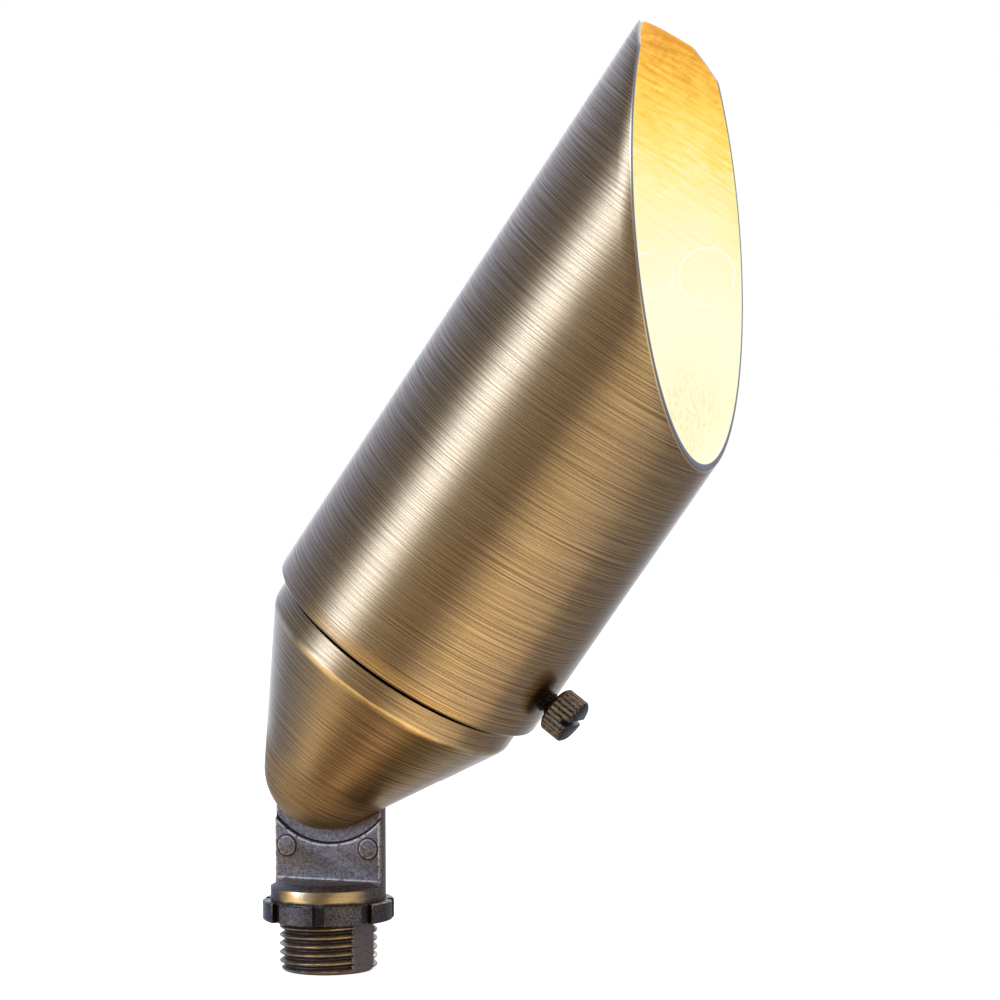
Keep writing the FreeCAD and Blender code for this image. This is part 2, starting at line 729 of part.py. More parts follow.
def make_bracket():
    """Strap on two feet that carries the lampholder over the cavity's floor, and its screws."""
    strap = new_body("lampholder_bracket")
    foot_top = "cavity_floor + bracket_thickness"
    knee = "bracket_reach - bracket_foot"
    inside = knee + " - bracket_thickness"
    under = "holder_bottom - bracket_thickness"
    half = [(inside, under), (inside, "cavity_floor"), ("bracket_reach", "cavity_floor"),
            ("bracket_reach", foot_top), (knee, foot_top), (knee, "holder_bottom")]
    mirrored = [("-(%s)" % across, up) for across, up in reversed(half)]
    extrude(strap, "XZ_Plane", outline(half + mirrored), "bracket_width", offset="-bracket_width / 2")
    cut(strap, "XY_Plane", twins("bracket_screw_spacing / 2", "0", "bracket_screw_radius + running_gap"),
        "2 * bracket_thickness", offset=foot_top)
    screws = new_body("bracket_screws")
    extrude(screws, "XY_Plane", twins("bracket_screw_spacing / 2", "0", "bracket_head_radius"),
            "bracket_head_height", offset=foot_top)
    extrude(screws, "XY_Plane", twins("bracket_screw_spacing / 2", "0", "bracket_screw_radius"),
            "bracket_screw_length", offset=foot_top, reverse=True)
    lean(strap)
    lean(screws)


def lead_shape(side):
    """One insulated lead: out of the holder's side, round a bend and up into its connector."""
    across = side * value("pin_spacing / 2")
    start = Vector(across, value("contact_radius"), value("lead_height"))
    bend = value("lead_bend_radius")
    reach = value("lead_reach")
    before = Vector(across, reach - bend, start.z)
    after = Vector(across, reach, start.z + bend)
    centre = Vector(across, reach - bend, start.z + bend)
    slant = math.sqrt(0.5) * bend
    crown = centre + Vector(0, slant, -slant)
    end = Vector(across, reach, value("lead_top"))
    path = Part.Wire([Part.LineSegment(start, before).toShape(), Part.Arc(before, crown, after).toShape(),
                      Part.LineSegment(after, end).toShape()])
    section = Part.Wire(Part.Circle(start, Vector(0, 1, 0), value("lead_radius")).toShape())
    return path.makePipeShell([section], True, False)


def make_leads():
    """Two short leads from the contacts, and the crimp connectors that wait for the supply cable."""
    leads = doc.addObject("Part::Feature", "lampholder_leads")
    leads.Label = "lampholder_leads"
    leads.Shape = Part.Compound([lead_shape(-1), lead_shape(1)])
    PARTS.append(leads)
    crimps = new_body("crimp_connectors")
    bottom = "lead_top - crimp_overlap"
    extrude(crimps, "XY_Plane", twins("pin_spacing / 2", "lead_reach", "crimp_radius"), "crimp_length",
            offset=bottom)
    cut(crimps, "XY_Plane", twins("pin_spacing / 2", "lead_reach", "lead_radius + touch_gap"),
        "crimp_overlap", offset=bottom, reverse=True)
    lean(leads)
    lean(crimps)


def make_grommet():
    """Rubber grommet where the cable enters the cavity."""
    body = new_body("cable_grommet")
    extrude(body, "XY_Plane", circles(("0", "-head_wireway_offset", "grommet_flange_radius")),
            "grommet_flange_height", offset="cavity_floor")
    extrude(body, "XY_Plane", circles(("0", "-head_wireway_offset", "head_wireway_radius")),
            "grommet_depth", offset="cavity_floor", reverse=True)
    cut(body, "XY_Plane", circles(("0", "-head_wireway_offset", "grommet_hole_radius")),
        "2 * (grommet_depth + grommet_flange_height)", offset="cavity_floor + grommet_flange_height")
    return lean(body)


# ---------------------------------------------------------------- build and write

def check_document():
    for item in doc.Objects:
        if "Invalid" in item.State or "Error" in item.State:
            raise RuntimeError("%s failed: %s" % (item.Label, item.State))
    for part in PARTS:
        if part.Shape.isNull() or not part.Shape.isValid() or not part.Shape.Solids:
            raise RuntimeError(part.Label + " has no valid solid")


def write_parts():
    os.makedirs("parts", exist_ok=True)
    for part in PARTS:
        part.Shape.exportStep("parts/%s.step" % part.Label)
        solids = len(part.Shape.Solids)
        print("%-22s %2d solid(s) %10.1f mm3" % (part.Label, solids, part.Shape.Volume))


make_stem()
make_knuckle_screw()
make_spring_washer()
make_knuckle_seal()
make_lock_nut()
make_housing()
make_neck_seals()
make_lens()
make_shroud()
make_thumb_screw()
make_lamp()
make_lampholder()
make_bracket()
make_leads()
make_grommet()
doc.recompute()
check_document()
write_parts()
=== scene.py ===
"""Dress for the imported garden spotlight: turned, cast and knurled pieces, finishes and a studio.

Run as a script. Everything is in metres in the model's own frame: the origin at the lower end of
the stem's thread, +Z up, the head leaning over towards +X, and the stem's flat facing -Y.
"""
import json
import math

import bmesh
import bpy
from bpy.props import FloatProperty, FloatVectorProperty, IntProperty, PointerProperty
from mathutils import Matrix, Vector

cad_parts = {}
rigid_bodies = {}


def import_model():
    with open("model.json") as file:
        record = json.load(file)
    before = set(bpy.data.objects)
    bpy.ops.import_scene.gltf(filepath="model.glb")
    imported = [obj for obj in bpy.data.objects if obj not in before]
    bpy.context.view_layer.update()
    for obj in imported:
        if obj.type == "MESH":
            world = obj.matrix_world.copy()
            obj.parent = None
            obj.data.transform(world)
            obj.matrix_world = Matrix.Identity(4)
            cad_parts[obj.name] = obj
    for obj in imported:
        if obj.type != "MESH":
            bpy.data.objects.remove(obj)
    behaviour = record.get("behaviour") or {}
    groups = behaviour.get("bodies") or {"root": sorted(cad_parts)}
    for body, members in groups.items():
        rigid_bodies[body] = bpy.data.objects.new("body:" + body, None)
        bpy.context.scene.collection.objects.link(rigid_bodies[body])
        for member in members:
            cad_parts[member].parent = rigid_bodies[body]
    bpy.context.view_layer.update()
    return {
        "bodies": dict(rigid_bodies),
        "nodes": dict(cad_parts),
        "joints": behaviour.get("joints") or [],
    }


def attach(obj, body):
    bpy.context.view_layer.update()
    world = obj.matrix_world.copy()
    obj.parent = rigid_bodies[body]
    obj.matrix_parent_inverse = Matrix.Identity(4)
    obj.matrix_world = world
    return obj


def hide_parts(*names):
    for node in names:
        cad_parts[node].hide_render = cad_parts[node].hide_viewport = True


bl_info = {
    "name": "Garden Spotlight",
    "version": (1, 0, 0),
    "blender": (4, 5, 0),
    "location": "View3D > Sidebar > Spotlight",
    "description": "Builds the visible pieces of a brass garden spotlight over its packed frame",
    "category": "Object",
}

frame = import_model()

# The head turns on the knuckle's pivot. UP runs along the lamp and OUT across it, through the thumb
# screw. The stem stands at FOOT along RISE. ASIDE lies across them all, away from the stem's flat.
JOINTS = {joint["name"]: joint for joint in frame["joints"]}
PIVOT = Vector(JOINTS["head_tilt"]["pos_m"])
UP = Vector(JOINTS["shroud_turn"]["axis"]).normalized()
OUT = Vector(JOINTS["thumb_screw_travel"]["axis"]).normalized()
FOOT = Vector((0.0, 0.0, 0.0))
RISE = Vector((0.0, 0.0, 1.0))
ACROSS = Vector((1.0, 0.0, 0.0))
ASIDE = Vector((0.0, 1.0, 0.0))
FULL_TURN = 2 * math.pi
MM = 0.001


# ---------------------------------------------------------------- settings

class SPOTLIGHT_PG_sizes(bpy.types.PropertyGroup):
    """Sizes of the visible pieces."""
    shroud_radius: FloatProperty(name="Shroud radius", description="Outside of the shroud's tube",
                                 default=31.75 * MM, unit="LENGTH")
    shroud_wall: FloatProperty(name="Shroud wall", description="Thickness of the shroud's tube",
                               default=1.0 * MM, unit="LENGTH")
    lip_round: FloatProperty(name="Lip round", description="Rounding on the mouth's cut edges",
                             default=0.16 * MM, unit="LENGTH")
    thread_pitch: FloatProperty(name="Thread pitch", description="Rise of the thread in a turn",
                                default=1.814 * MM, unit="LENGTH")
    thread_depth: FloatProperty(name="Thread depth", description="Crest to root of the thread",
                                default=1.05 * MM, unit="LENGTH")
    thread_flat: FloatProperty(name="Thread flat", default=9.9 * MM, unit="LENGTH",
                               description="Distance of the thread's flat from its axis")
    thread_flat_side: FloatProperty(name="Thread flat side", default=math.radians(-16.0),
                                    description="Way that the thread's flat faces",
                                    subtype="ANGLE", unit="ROTATION")
    casting_round: FloatProperty(name="Casting round", default=0.22 * MM, unit="LENGTH",
                                 description="Rounding on the stem's cast edges")
    nut_edge: FloatProperty(name="Nut edge", description="Bevel on the lock nut's edges",
                            default=0.28 * MM, unit="LENGTH")
    knurl_count: IntProperty(name="Knurls", description="Ridges round the thumb screw's head",
                             default=26, min=8)
    knurl_depth: FloatProperty(name="Knurl depth", description="Depth of the screw's knurling",
                               default=0.34 * MM, unit="LENGTH")


class SPOTLIGHT_PG_colours(bpy.types.PropertyGroup):
    """Colours of the finishes."""
    brass: FloatVectorProperty(name="Brass", description="Bright brass between the brush lines",
                               default=(0.68, 0.445, 0.20), subtype="COLOR", min=0.0, max=1.0)
    patina: FloatVectorProperty(name="Patina", description="Antique brown in the brush lines",
                                default=(0.30, 0.185, 0.082), subtype="COLOR", min=0.0, max=1.0)
    scratch: FloatVectorProperty(name="Scratch", description="Rare dark scratches round the brass",
                                 default=(0.11, 0.07, 0.035), subtype="COLOR", min=0.0, max=1.0)
    bronze: FloatVectorProperty(name="Bronze", description="Dark bronze of the casting",
                                default=(0.27, 0.215, 0.17), subtype="COLOR", min=0.0, max=1.0)
    worn_edge: FloatVectorProperty(name="Worn edge", description="Brass on worn bronze edges",
                                   default=(0.62, 0.42, 0.18), subtype="COLOR", min=0.0, max=1.0)
    glow_near: FloatVectorProperty(name="Glow near", description="Lamplight halfway up the shroud",
                                   default=(1.0, 0.92, 0.50), subtype="COLOR", min=0.0, max=1.0)
    glow_far: FloatVectorProperty(name="Glow far", description="Lamplight inside the shroud's tip",
                                  default=(0.95, 0.46, 0.060), subtype="COLOR", min=0.0, max=1.0)
    floor: FloatVectorProperty(name="Floor", description="Pale studio floor",
                               default=(0.78, 0.77, 0.76), subtype="COLOR", min=0.0, max=1.0)


def sizes():
    return bpy.context.scene.spotlight_sizes


def colour(name):
    return tuple(getattr(bpy.context.scene.spotlight_colours, name)) + (1.0,)


# ---------------------------------------------------------------- shader maths

class Value:
    """A node's output that takes part in Python arithmetic."""

    def __init__(self, nodes, socket):
        self.nodes = nodes
        self.socket = socket

    def maths(self, operation, first, second=0.0):
        return self.nodes.node("Math", {"operation": operation}, {0: first, 1: second})

    def __add__(self, other):
        return self.maths("ADD", self, other)

    def __sub__(self, other):
        return self.maths("SUBTRACT", self, other)

    def __rsub__(self, other):
        return self.maths("SUBTRACT", other, self)

    def __mul__(self, other):
        return self.maths("MULTIPLY", self, other)

    def __truediv__(self, other):
        return self.maths("DIVIDE", self, other)

    def __pow__(self, other):
        return self.maths("POWER", self, other)

    def most(self, other):
        return self.maths("MAXIMUM", self, other)

    def absolute(self):
        return self.maths("ABSOLUTE", self)

    __radd__ = __add__
    __rmul__ = __mul__


class Nodes:
    """A node tree under construction."""

    def __init__(self, tree):
        self.tree = tree
        self.tree.nodes.clear()

    def node(self, kind, settings=None, inputs=None, output=0):
        """Add a node: its settings first, then the values or links of its sockets."""
        made = self.tree.nodes.new("ShaderNode" + kind)
        for name, setting in (settings or {}).items():
            if name == "stops":
                self.set_stops(made.color_ramp, setting)
            else:
                setattr(made, name, setting)
        for name, value in (inputs or {}).items():
            if isinstance(value, Value):
                self.tree.links.new(value.socket, made.inputs[name])
            else:
                made.inputs[name].default_value = value
        return Value(self, made.outputs[output]) if made.outputs else made

    def set_stops(self, ramp, stops):
        while len(ramp.elements) > 1:
            ramp.elements.remove(ramp.elements[-1])
        ramp.elements[0].position = stops[0][0]
        ramp.elements[0].color = stops[0][1]
        for position, shade in stops[1:]:
            ramp.elements.new(position).color = shade

    def vector(self, operation, first, second, output=0):
        return self.node("VectorMath", {"operation": operation}, {0: first, 1: second}, output)

    def combine(self, x, y, z):
        return self.node("CombineXYZ", None, {"X": x, "Y": y, "Z": z})

    def fade(self, value, low, high):
        """0 below low, 1 above high and smooth between; low may be the greater."""
        if low > high:
            return 1.0 - self.fade(value, high, low)
        return self.node("MapRange", {"interpolation_type": "SMOOTHSTEP"},
                         {"Value": value, "From Min": low, "From Max": high})

    def band(self, value, start, end, soft=0.12 * MM):
        """1 from start to end and 0 beyond, with soft sides."""
        return self.fade(value, start - soft, start + soft) \
            * self.fade(value, end + soft, end - soft)

    def blend(self, share, first, second):
        """Mix two colours."""
        return self.node("Mix", {"data_type": "RGBA"}, {0: share, 6: first, 7: second}, 2)

    def noise(self, vector, scale, detail=2.0, roughness=0.5):
        return self.node("TexNoise", None, {"Vector": vector, "Scale": scale, "Detail": detail,
                                            "Roughness": roughness})

    def place(self):
        return self.node("TexCoord", None, None, "Object")

    def bump(self, height, distance):
        return self.node("Bump", None, {"Height": height, "Distance": distance, "Strength": 1.0})


class Turned:
    """Heights, radii and directions about an axis, for finishes left by a lathe or a brush."""

    def __init__(self, nodes, centre, axis, across, aside):
        offset = nodes.vector("SUBTRACT", nodes.place(), centre)
        self.height = nodes.vector("DOT_PRODUCT", offset, axis, "Value")
        self.across = nodes.vector("DOT_PRODUCT", offset, across, "Value")
        self.aside = nodes.vector("DOT_PRODUCT", offset, aside, "Value")
        self.radius = (self.across * self.across + self.aside * self.aside) ** 0.5
        self.off_axis = self.radius + 1e-5
        self.nodes = nodes

    def streaks(self, length, width, detail, slant=0.0, seed=0.0, lift=0.0):
        """Noise drawn out round the axis: length in radii of its arc, width in metres along it."""
        height = self.height + lift if lift else self.height
        if slant:
            height = height + self.across * slant
        vector = self.nodes.combine(self.across / self.off_axis * (1.0 / length) + seed,
                                    self.aside / self.off_axis * (1.0 / length),
                                    height * (1.0 / width))
        return self.nodes.noise(vector, 1.0, detail, 0.62)

    def lines(self, length, width, detail=1.0, slant=0.0, seed=0.0):
        """Streaks without broad bands: each less its neighbour along the axis."""
        here = self.streaks(length, width, detail, slant, seed)
        beside = self.streaks(length, width, detail, slant, seed, 1.5 * width)
        return (here - beside) * 0.75 + 0.5


FINISHES = {}


def finish(name, build):
    """The material of that name, built once."""
    if name not in FINISHES:
        material = bpy.data.materials.new(name)
        material.use_nodes = True
        nodes = Nodes(material.node_tree)
        surface = build(nodes)
        nodes.node("OutputMaterial", None, {"Surface": surface})
        FINISHES[name] = material
    return FINISHES[name]


def principled(nodes, **inputs):
    return nodes.node("BsdfPrincipled", None, {name.replace("_", " "): value
                                               for name, value in inputs.items()})


# ---------------------------------------------------------------- finishes

# Shades that no setting changes, each named for where it lies.
PALE_SCRATCH = (0.85, 0.60, 0.28, 1.0)
RUBBED_AND_LIT_BRASS = (0.95, 0.70, 0.33, 1.0)
LIP_SHEEN = (0.36, 0.37, 0.40, 1.0)
# Base colour inside the shroud, dark under its painted lamplight glow.
UNLIT_INSIDE = (0.05, 0.04, 0.02, 1.0)
GROOVE_SHADE = (0.004, 0.004, 0.005, 1.0)
GLOW_GRAZING = (1.0, 0.77, 0.34, 1.0)
GLOW_ARC_LIGHT = (1.0, 0.98, 0.84, 1.0)
GLOW_SPOT = (0.62, 0.27, 0.03, 1.0)
NO_GLOW = (0.0, 0.0, 0.0, 1.0)
SAND_HOLLOW = (0.095, 0.078, 0.068, 1.0)
SAND_BLOTCH = (0.10, 0.08, 0.07, 1.0)
THREAD_FLAT = (0.36, 0.31, 0.27, 1.0)
THREAD_ROOT = (0.05, 0.036, 0.028, 1.0)
LIT_EDGE = (0.60, 0.50, 0.36, 1.0)
CREASE_SHADE = (0.006, 0.005, 0.005, 1.0)
RIM_HIGHLIGHT = (1.0, 0.82, 0.46, 1.0)
NUT_HOLLOW, NUT_SKIN = (0.05, 0.042, 0.04, 1.0), (0.175, 0.15, 0.145, 1.0)
NUT_PATCH = (0.26, 0.19, 0.10, 1.0)
NUT_SLOT = (0.015, 0.012, 0.012, 1.0)
SCREW_HOLLOW, SCREW_SKIN = (0.04, 0.034, 0.03, 1.0), (0.17, 0.145, 0.125, 1.0)

# Lamplight painted as a glow on the inside of the shroud: heights in metres along it, and their
# shades.
GLOW_SPAN = 0.2
GLOW_BY_LAMP = [(0.070, (1.0, 0.94, 0.64, 1.0)), (0.098, (1.0, 0.955, 0.71, 1.0)),
                (0.114, (1.0, 0.935, 0.61, 1.0))]
GLOW_BETWEEN = [(0.135, (1.0, 0.87, 0.35, 1.0)), (0.143, (1.0, 0.78, 0.20, 1.0)),
                (0.152, (1.0, 0.67, 0.115, 1.0)), (0.158, (1.0, 0.59, 0.084, 1.0))]
GLOW_LAST = [(0.172, (0.78, 0.34, 0.04, 1.0))]

# Round arcs of painted light inside the shroud: height, across, aside and radius, in millimetres.
PAINTED_LIGHT_ARCS = ((128.6, -0.6, 30.7, 6.2), (121.9, -10.9, 28.8, 4.9))


def head_turned(nodes):
    return Turned(nodes, PIVOT, UP, OUT, ASIDE)


def stem_turned(nodes):
    return Turned(nodes, FOOT, RISE, ACROSS, ASIDE)


def brushed_metal(nodes, turned, glow=None, inside=0.0, groove=0.0, worn=0.0, dull=0.0, lip=0.0):
    """Antique brass brushed round the axis: gold between brown lines, under a thin lacquer."""
    fine = turned.lines(1.1, 0.20 * MM)
    wide = turned.lines(0.9, 0.38 * MM, seed=7.0)
    crossed = turned.lines(0.5, 0.30 * MM, 0.0, slant=-0.04, seed=3.0)
    rare = turned.streaks(1.1, 0.22 * MM, 0.0, slant=0.012, seed=19.0)
    grain = nodes.noise(nodes.place(), 3600.0, 1.0)
    cloud = nodes.noise(nodes.place(), 60.0, 3.0)
    brush = fine * 0.46 + wide * 0.20 + crossed * 0.14 + grain * 0.20 + (cloud - 0.5) * 0.06
    share = nodes.fade(brush + worn * 0.2, 0.35, 0.65)
    base = nodes.blend(share, colour("patina"), colour("brass"))
    base = nodes.blend(nodes.fade(rare, 0.70, 0.76) * 0.6, base, colour("scratch"))
    base = nodes.blend(nodes.fade(rare, 0.32, 0.26) * 0.5, base, PALE_SCRATCH)
    # Rubbed brass, partly a painted highlight.
    base = nodes.blend(worn * 0.8, base, RUBBED_AND_LIT_BRASS)
    # Painted grey sheen on the mouth's lip.
    base = nodes.blend(lip, base, LIP_SHEEN)
    # Inside the shroud the brass is darkened, so that its painted lamplight glow shows alone.
    base = nodes.blend(inside, base, UNLIT_INSIDE)
    # Painted shade in the housing's groove.
    base = nodes.blend(groove, base, GROOVE_SHADE)
    sockets = {"Base_Color": base, "Metallic": 1.0,
               "Roughness": 0.295 - share * 0.03 + groove * 0.4 + dull * 0.25,
               "Normal": nodes.bump(fine * 0.65 + grain * 0.35, 0.003 * MM),
               "Coat_Weight": (1.0 - inside) * (1.0 - groove) * (1.0 - dull) * 0.32,
               "Coat_Roughness": 0.17}
    if glow is not None:
        sockets["Emission_Color"] = glow
        sockets["Emission_Strength"] = 1.0
    return principled(nodes, **sockets)


def housing_brass():
    """Brushed brass, worn and painted bright along the shoulder, dull on the ball, painted shade in
    the shroud's groove.
    """
    groove_floor, groove_side = 28.5 * MM, 28.9 * MM
    groove_bottom, groove_top = 31.1 * MM, 33.1 * MM
    shoulder_bottom, shoulder_top = 25.3 * MM, 26.6 * MM
    ball_bottom, ball_top = -3 * MM, 4 * MM

    def build(nodes):
        turned = head_turned(nodes)
        # Painted shade in the groove under the shroud's foot.
        groove = nodes.fade(turned.radius, groove_side, groove_floor) \
            * nodes.band(turned.height, groove_bottom, groove_top)
        rub = nodes.noise(nodes.place(), 130.0, 2.0)
        # Gold line along the shoulder: wear with a painted highlight.
        shoulder = nodes.band(turned.height, shoulder_bottom, shoulder_top, 0.4 * MM)
        return brushed_metal(nodes, turned, groove=groove,
                             worn=shoulder * nodes.fade(rub, 0.25, 0.6),
                             dull=nodes.fade(turned.height, ball_top, ball_bottom))
    return finish("brushed_brass", build)


def mouth_depth(turned):
    """How far a point of the shroud lies below the mouth's rim."""
    tube = SPOTLIGHT_OT_shroud
    toward = turned.across * math.cos(tube.mouth_turn) - turned.aside * math.sin(tube.mouth_turn)
    past_flat = (toward + (sizes().shroud_radius - tube.tip_flat)).most(0.0)
    past_bevel = (past_flat - tube.bevel_run).most(0.0)
    bevel, slant = math.tan(tube.bevel_angle), math.tan(tube.mouth_angle)
    return tube.top - past_flat * bevel - past_bevel * (slant - bevel) - turned.height


def glow_shade(nodes, turned, depth):
    """Painted lamplight on the brushed inside: cream by the lamp and amber at the tip, with spots.
    """
    strokes = turned.streaks(0.16, 0.9 * MM, 1.0, seed=5.0)
    brush = turned.lines(0.35, 0.5 * MM, seed=11.0)
    mottle = nodes.noise(nodes.place(), 520.0, 3.0, 0.7)
    blotch = nodes.noise(nodes.place(), 150.0, 3.0)
    rise = turned.height - (turned.across + sizes().shroud_radius) * 0.65
    reach = rise + (brush - 0.5) * 0.022 + (strokes - 0.5) * 0.020 + (mottle - 0.5) * 0.014 \
        + (blotch - 0.5) * 0.012 + nodes.fade(depth, 14 * MM, 0.0) * 5.0 * MM
    tones = GLOW_BY_LAMP + [(0.124, colour("glow_near"))] + GLOW_BETWEEN \
        + [(0.164, colour("glow_far"))] + GLOW_LAST
    stops = [(height / GLOW_SPAN, tone) for height, tone in tones]
    shade = nodes.node("ValToRGB", {"stops": stops}, {"Fac": reach * (1 / GLOW_SPAN)}, "Color")

    # Painted streaks of grazing lamplight, low down on the thumb screw's side.
    grazing = nodes.fade(turned.streaks(0.06, 0.8 * MM, 1.0, slant=0.45, seed=31.0), 0.50, 0.66)
    low = nodes.fade(turned.height, 116 * MM, 104 * MM) * nodes.fade(turned.across, 0.0, 9 * MM)
    shade = nodes.blend(grazing * low * 0.55, shade, GLOW_GRAZING)
    # Arcs of painted light on the inside glow.
    for height, across, aside, radius in PAINTED_LIGHT_ARCS:
        centre = PIVOT + (UP * height + OUT * across + ASIDE * aside) * MM
        away = nodes.vector("DISTANCE", nodes.place(), centre, "Value")
        light_arc = nodes.band(away, (radius - 0.25) * MM, (radius + 0.25) * MM, 0.15 * MM)
        shade = nodes.blend(light_arc * nodes.fade(blotch, 0.34, 0.46) * 0.85, shade, GLOW_ARC_LIGHT)
    dots = nodes.node("TexVoronoi", None, {"Vector": nodes.place(), "Scale": 620.0}, "Distance")
    spots = nodes.fade(dots, 0.22, 0.12) \
        * nodes.fade(turned.height + blotch * 0.02, 155 * MM, 172 * MM)
    return nodes.blend(spots * 0.35, shade, GLOW_SPOT)


def shroud_brass():
    """Brushed outside, the same metal under painted lamplight inside, and a painted grey sheen and
    gold on the lip.
    """
    def build(nodes):
        turned = head_turned(nodes)
        wall, outside = sizes().shroud_wall, sizes().shroud_radius
        inside = nodes.fade(turned.radius, outside - 0.72 * wall, outside - 0.94 * wall)
        depth = mouth_depth(turned)
        level = inside * nodes.fade(turned.height, 50 * MM, 75 * MM)
        outer = nodes.fade(turned.radius, outside - 0.15 * MM, outside - 0.05 * MM)
        # Painted grey sheen on the mouth's cut edge.
        lip = nodes.fade(depth, 0.2 * MM, 0.1 * MM) * (1.0 - inside)
        # Gold band just under the mouth: wear with a painted highlight.
        edge = nodes.band(depth, 0.2 * MM, 0.5 * MM, 0.08 * MM) * outer
        # Painted lamplight glows from the inside wall above the lamp.
        glow = nodes.blend(level, NO_GLOW, glow_shade(nodes, turned, depth))
        return brushed_metal(nodes, turned, glow, level, worn=edge, lip=lip * 0.85)
    return finish("shroud_brass", build)


def cast_bronze():
    """Dark bronze with a sandy skin, brass where it is worn, painted highlights on rim and edges,
    painted shade in corners.
    """
    dish_radius, flat_bottom, flat_top = 16.2 * MM, 18.7 * MM, 40.0 * MM
    mark_across, mark_height, mark_radius = 9.6 * MM, 25.9 * MM, 2.12 * MM
    rim_radius, rim_bottom, rim_top = 12.0 * MM, 15.3 * MM, 17.7 * MM
    thread_top, flat_reach = 10.4 * MM, 9.6 * MM

    def build(nodes):
        turned = stem_turned(nodes)
        place = nodes.place()
        sand = nodes.noise(place, 3400.0, 2.0, 0.7)
        grit = nodes.noise(place, 1300.0, 2.0)
        blotch = nodes.noise(place, 240.0, 3.0)
        brush = turned.streaks(0.6, 0.25 * MM, 2.0)
        front = nodes.fade(turned.aside, 0.6 * MM, 0.2 * MM)
        half = turned.across.absolute()

        def ring(centre_across, centre_height):
            """Distance from a point of the front, drawn out along ASIDE."""
            across, rise = half - centre_across, turned.height - centre_height
            return (across * across + rise * rise) ** 0.5
        dish = ring(0.0, PIVOT.z)
        mark = ring(mark_across, mark_height)

        # Painted shade, with some dark patina, in the crease round the dish and round each pin
        # mark.
        crease_shade = nodes.band(dish, dish_radius, dish_radius + 0.42 * MM).most(
            nodes.band(mark, mark_radius, mark_radius + 0.3 * MM) * 0.9)
        # Painted highlights, partly wear, by the dish's edge, inside each pin mark's edge, on the
        # flat's sides and along its lower edge.
        lit = nodes.band(dish, dish_radius + 0.55 * MM, dish_radius + 0.95 * MM).most(
            nodes.band(mark, mark_radius - 0.37 * MM, mark_radius - 0.07 * MM) * 0.5)
        lit = lit.most(nodes.fade(half, 11.75 * MM, 12.1 * MM))
        lit = lit.most(nodes.band(turned.height, flat_bottom + 0.2 * MM, flat_bottom + 0.55 * MM)) \
            * nodes.band(turned.height, flat_bottom, flat_top)

        # The rim has a painted sheen: brass but for its ends, left and right of the flat.
        beside = turned.across * 0.926 + turned.aside * 0.376
        rim_sheen = nodes.fade(beside, -11.2 * MM, -8.8 * MM) \
            * nodes.fade(beside, 11.5 * MM, 5.5 * MM)
        rim = nodes.fade(turned.radius, rim_radius, rim_radius + 0.15 * MM) \
            * nodes.band(turned.height, rim_bottom, rim_top) * rim_sheen
        # Painted highlight on the rim, left of its middle.
        bright = rim * nodes.band(beside, -7.5 * MM, -2.5 * MM, 1.5 * MM) * 0.7

        smooth = nodes.fade(turned.across * 0.961 - turned.aside * 0.276, flat_reach,
                            flat_reach + 0.2 * MM)
        below_nut = nodes.fade(turned.height, thread_top + 0.3 * MM, thread_top)
        cut = below_nut * (1.0 - smooth)
        crest = nodes.fade(turned.radius, 9.6 * MM, 10.05 * MM) * cut
        root = nodes.fade(turned.radius, 9.75 * MM, 9.4 * MM) * cut
        # Brass on the rim, under its painted sheen, and wear on the thread's crests.
        worn = nodes.fade(rim * (0.45 + brush * 0.9) + crest * (0.6 + (blotch - 0.5) * 1.2),
                          0.3, 1.0)

        skin = nodes.blend(nodes.fade(sand * 0.65 + grit * 0.35, 0.38, 0.62), SAND_HOLLOW,
                           colour("bronze"))
        skin = nodes.blend(nodes.fade(blotch, 0.4, 0.75) * 0.12, skin, SAND_BLOTCH)
        skin = nodes.blend(smooth * below_nut * 0.35, skin, THREAD_FLAT)
        skin = nodes.blend(lit * front * nodes.fade(grit, 0.3, 0.55) * 0.75, skin, LIT_EDGE)
        skin = nodes.blend(crease_shade * front, skin, CREASE_SHADE)
        skin = nodes.blend(root * 0.6, skin, THREAD_ROOT)
        base = nodes.blend(worn, skin, nodes.blend(bright, colour("worn_edge"), RIM_HIGHLIGHT))
        roughness = 0.50 - worn * 0.24 - rim * 0.06 - nodes.fade(sand, 0.5, 0.8) * 0.12
        return principled(nodes, Base_Color=base, Metallic=1.0, Roughness=roughness,
                          Normal=nodes.bump(sand * 0.6 + grit * 0.4, 0.035 * MM))
    return finish("dark_bronze", build)


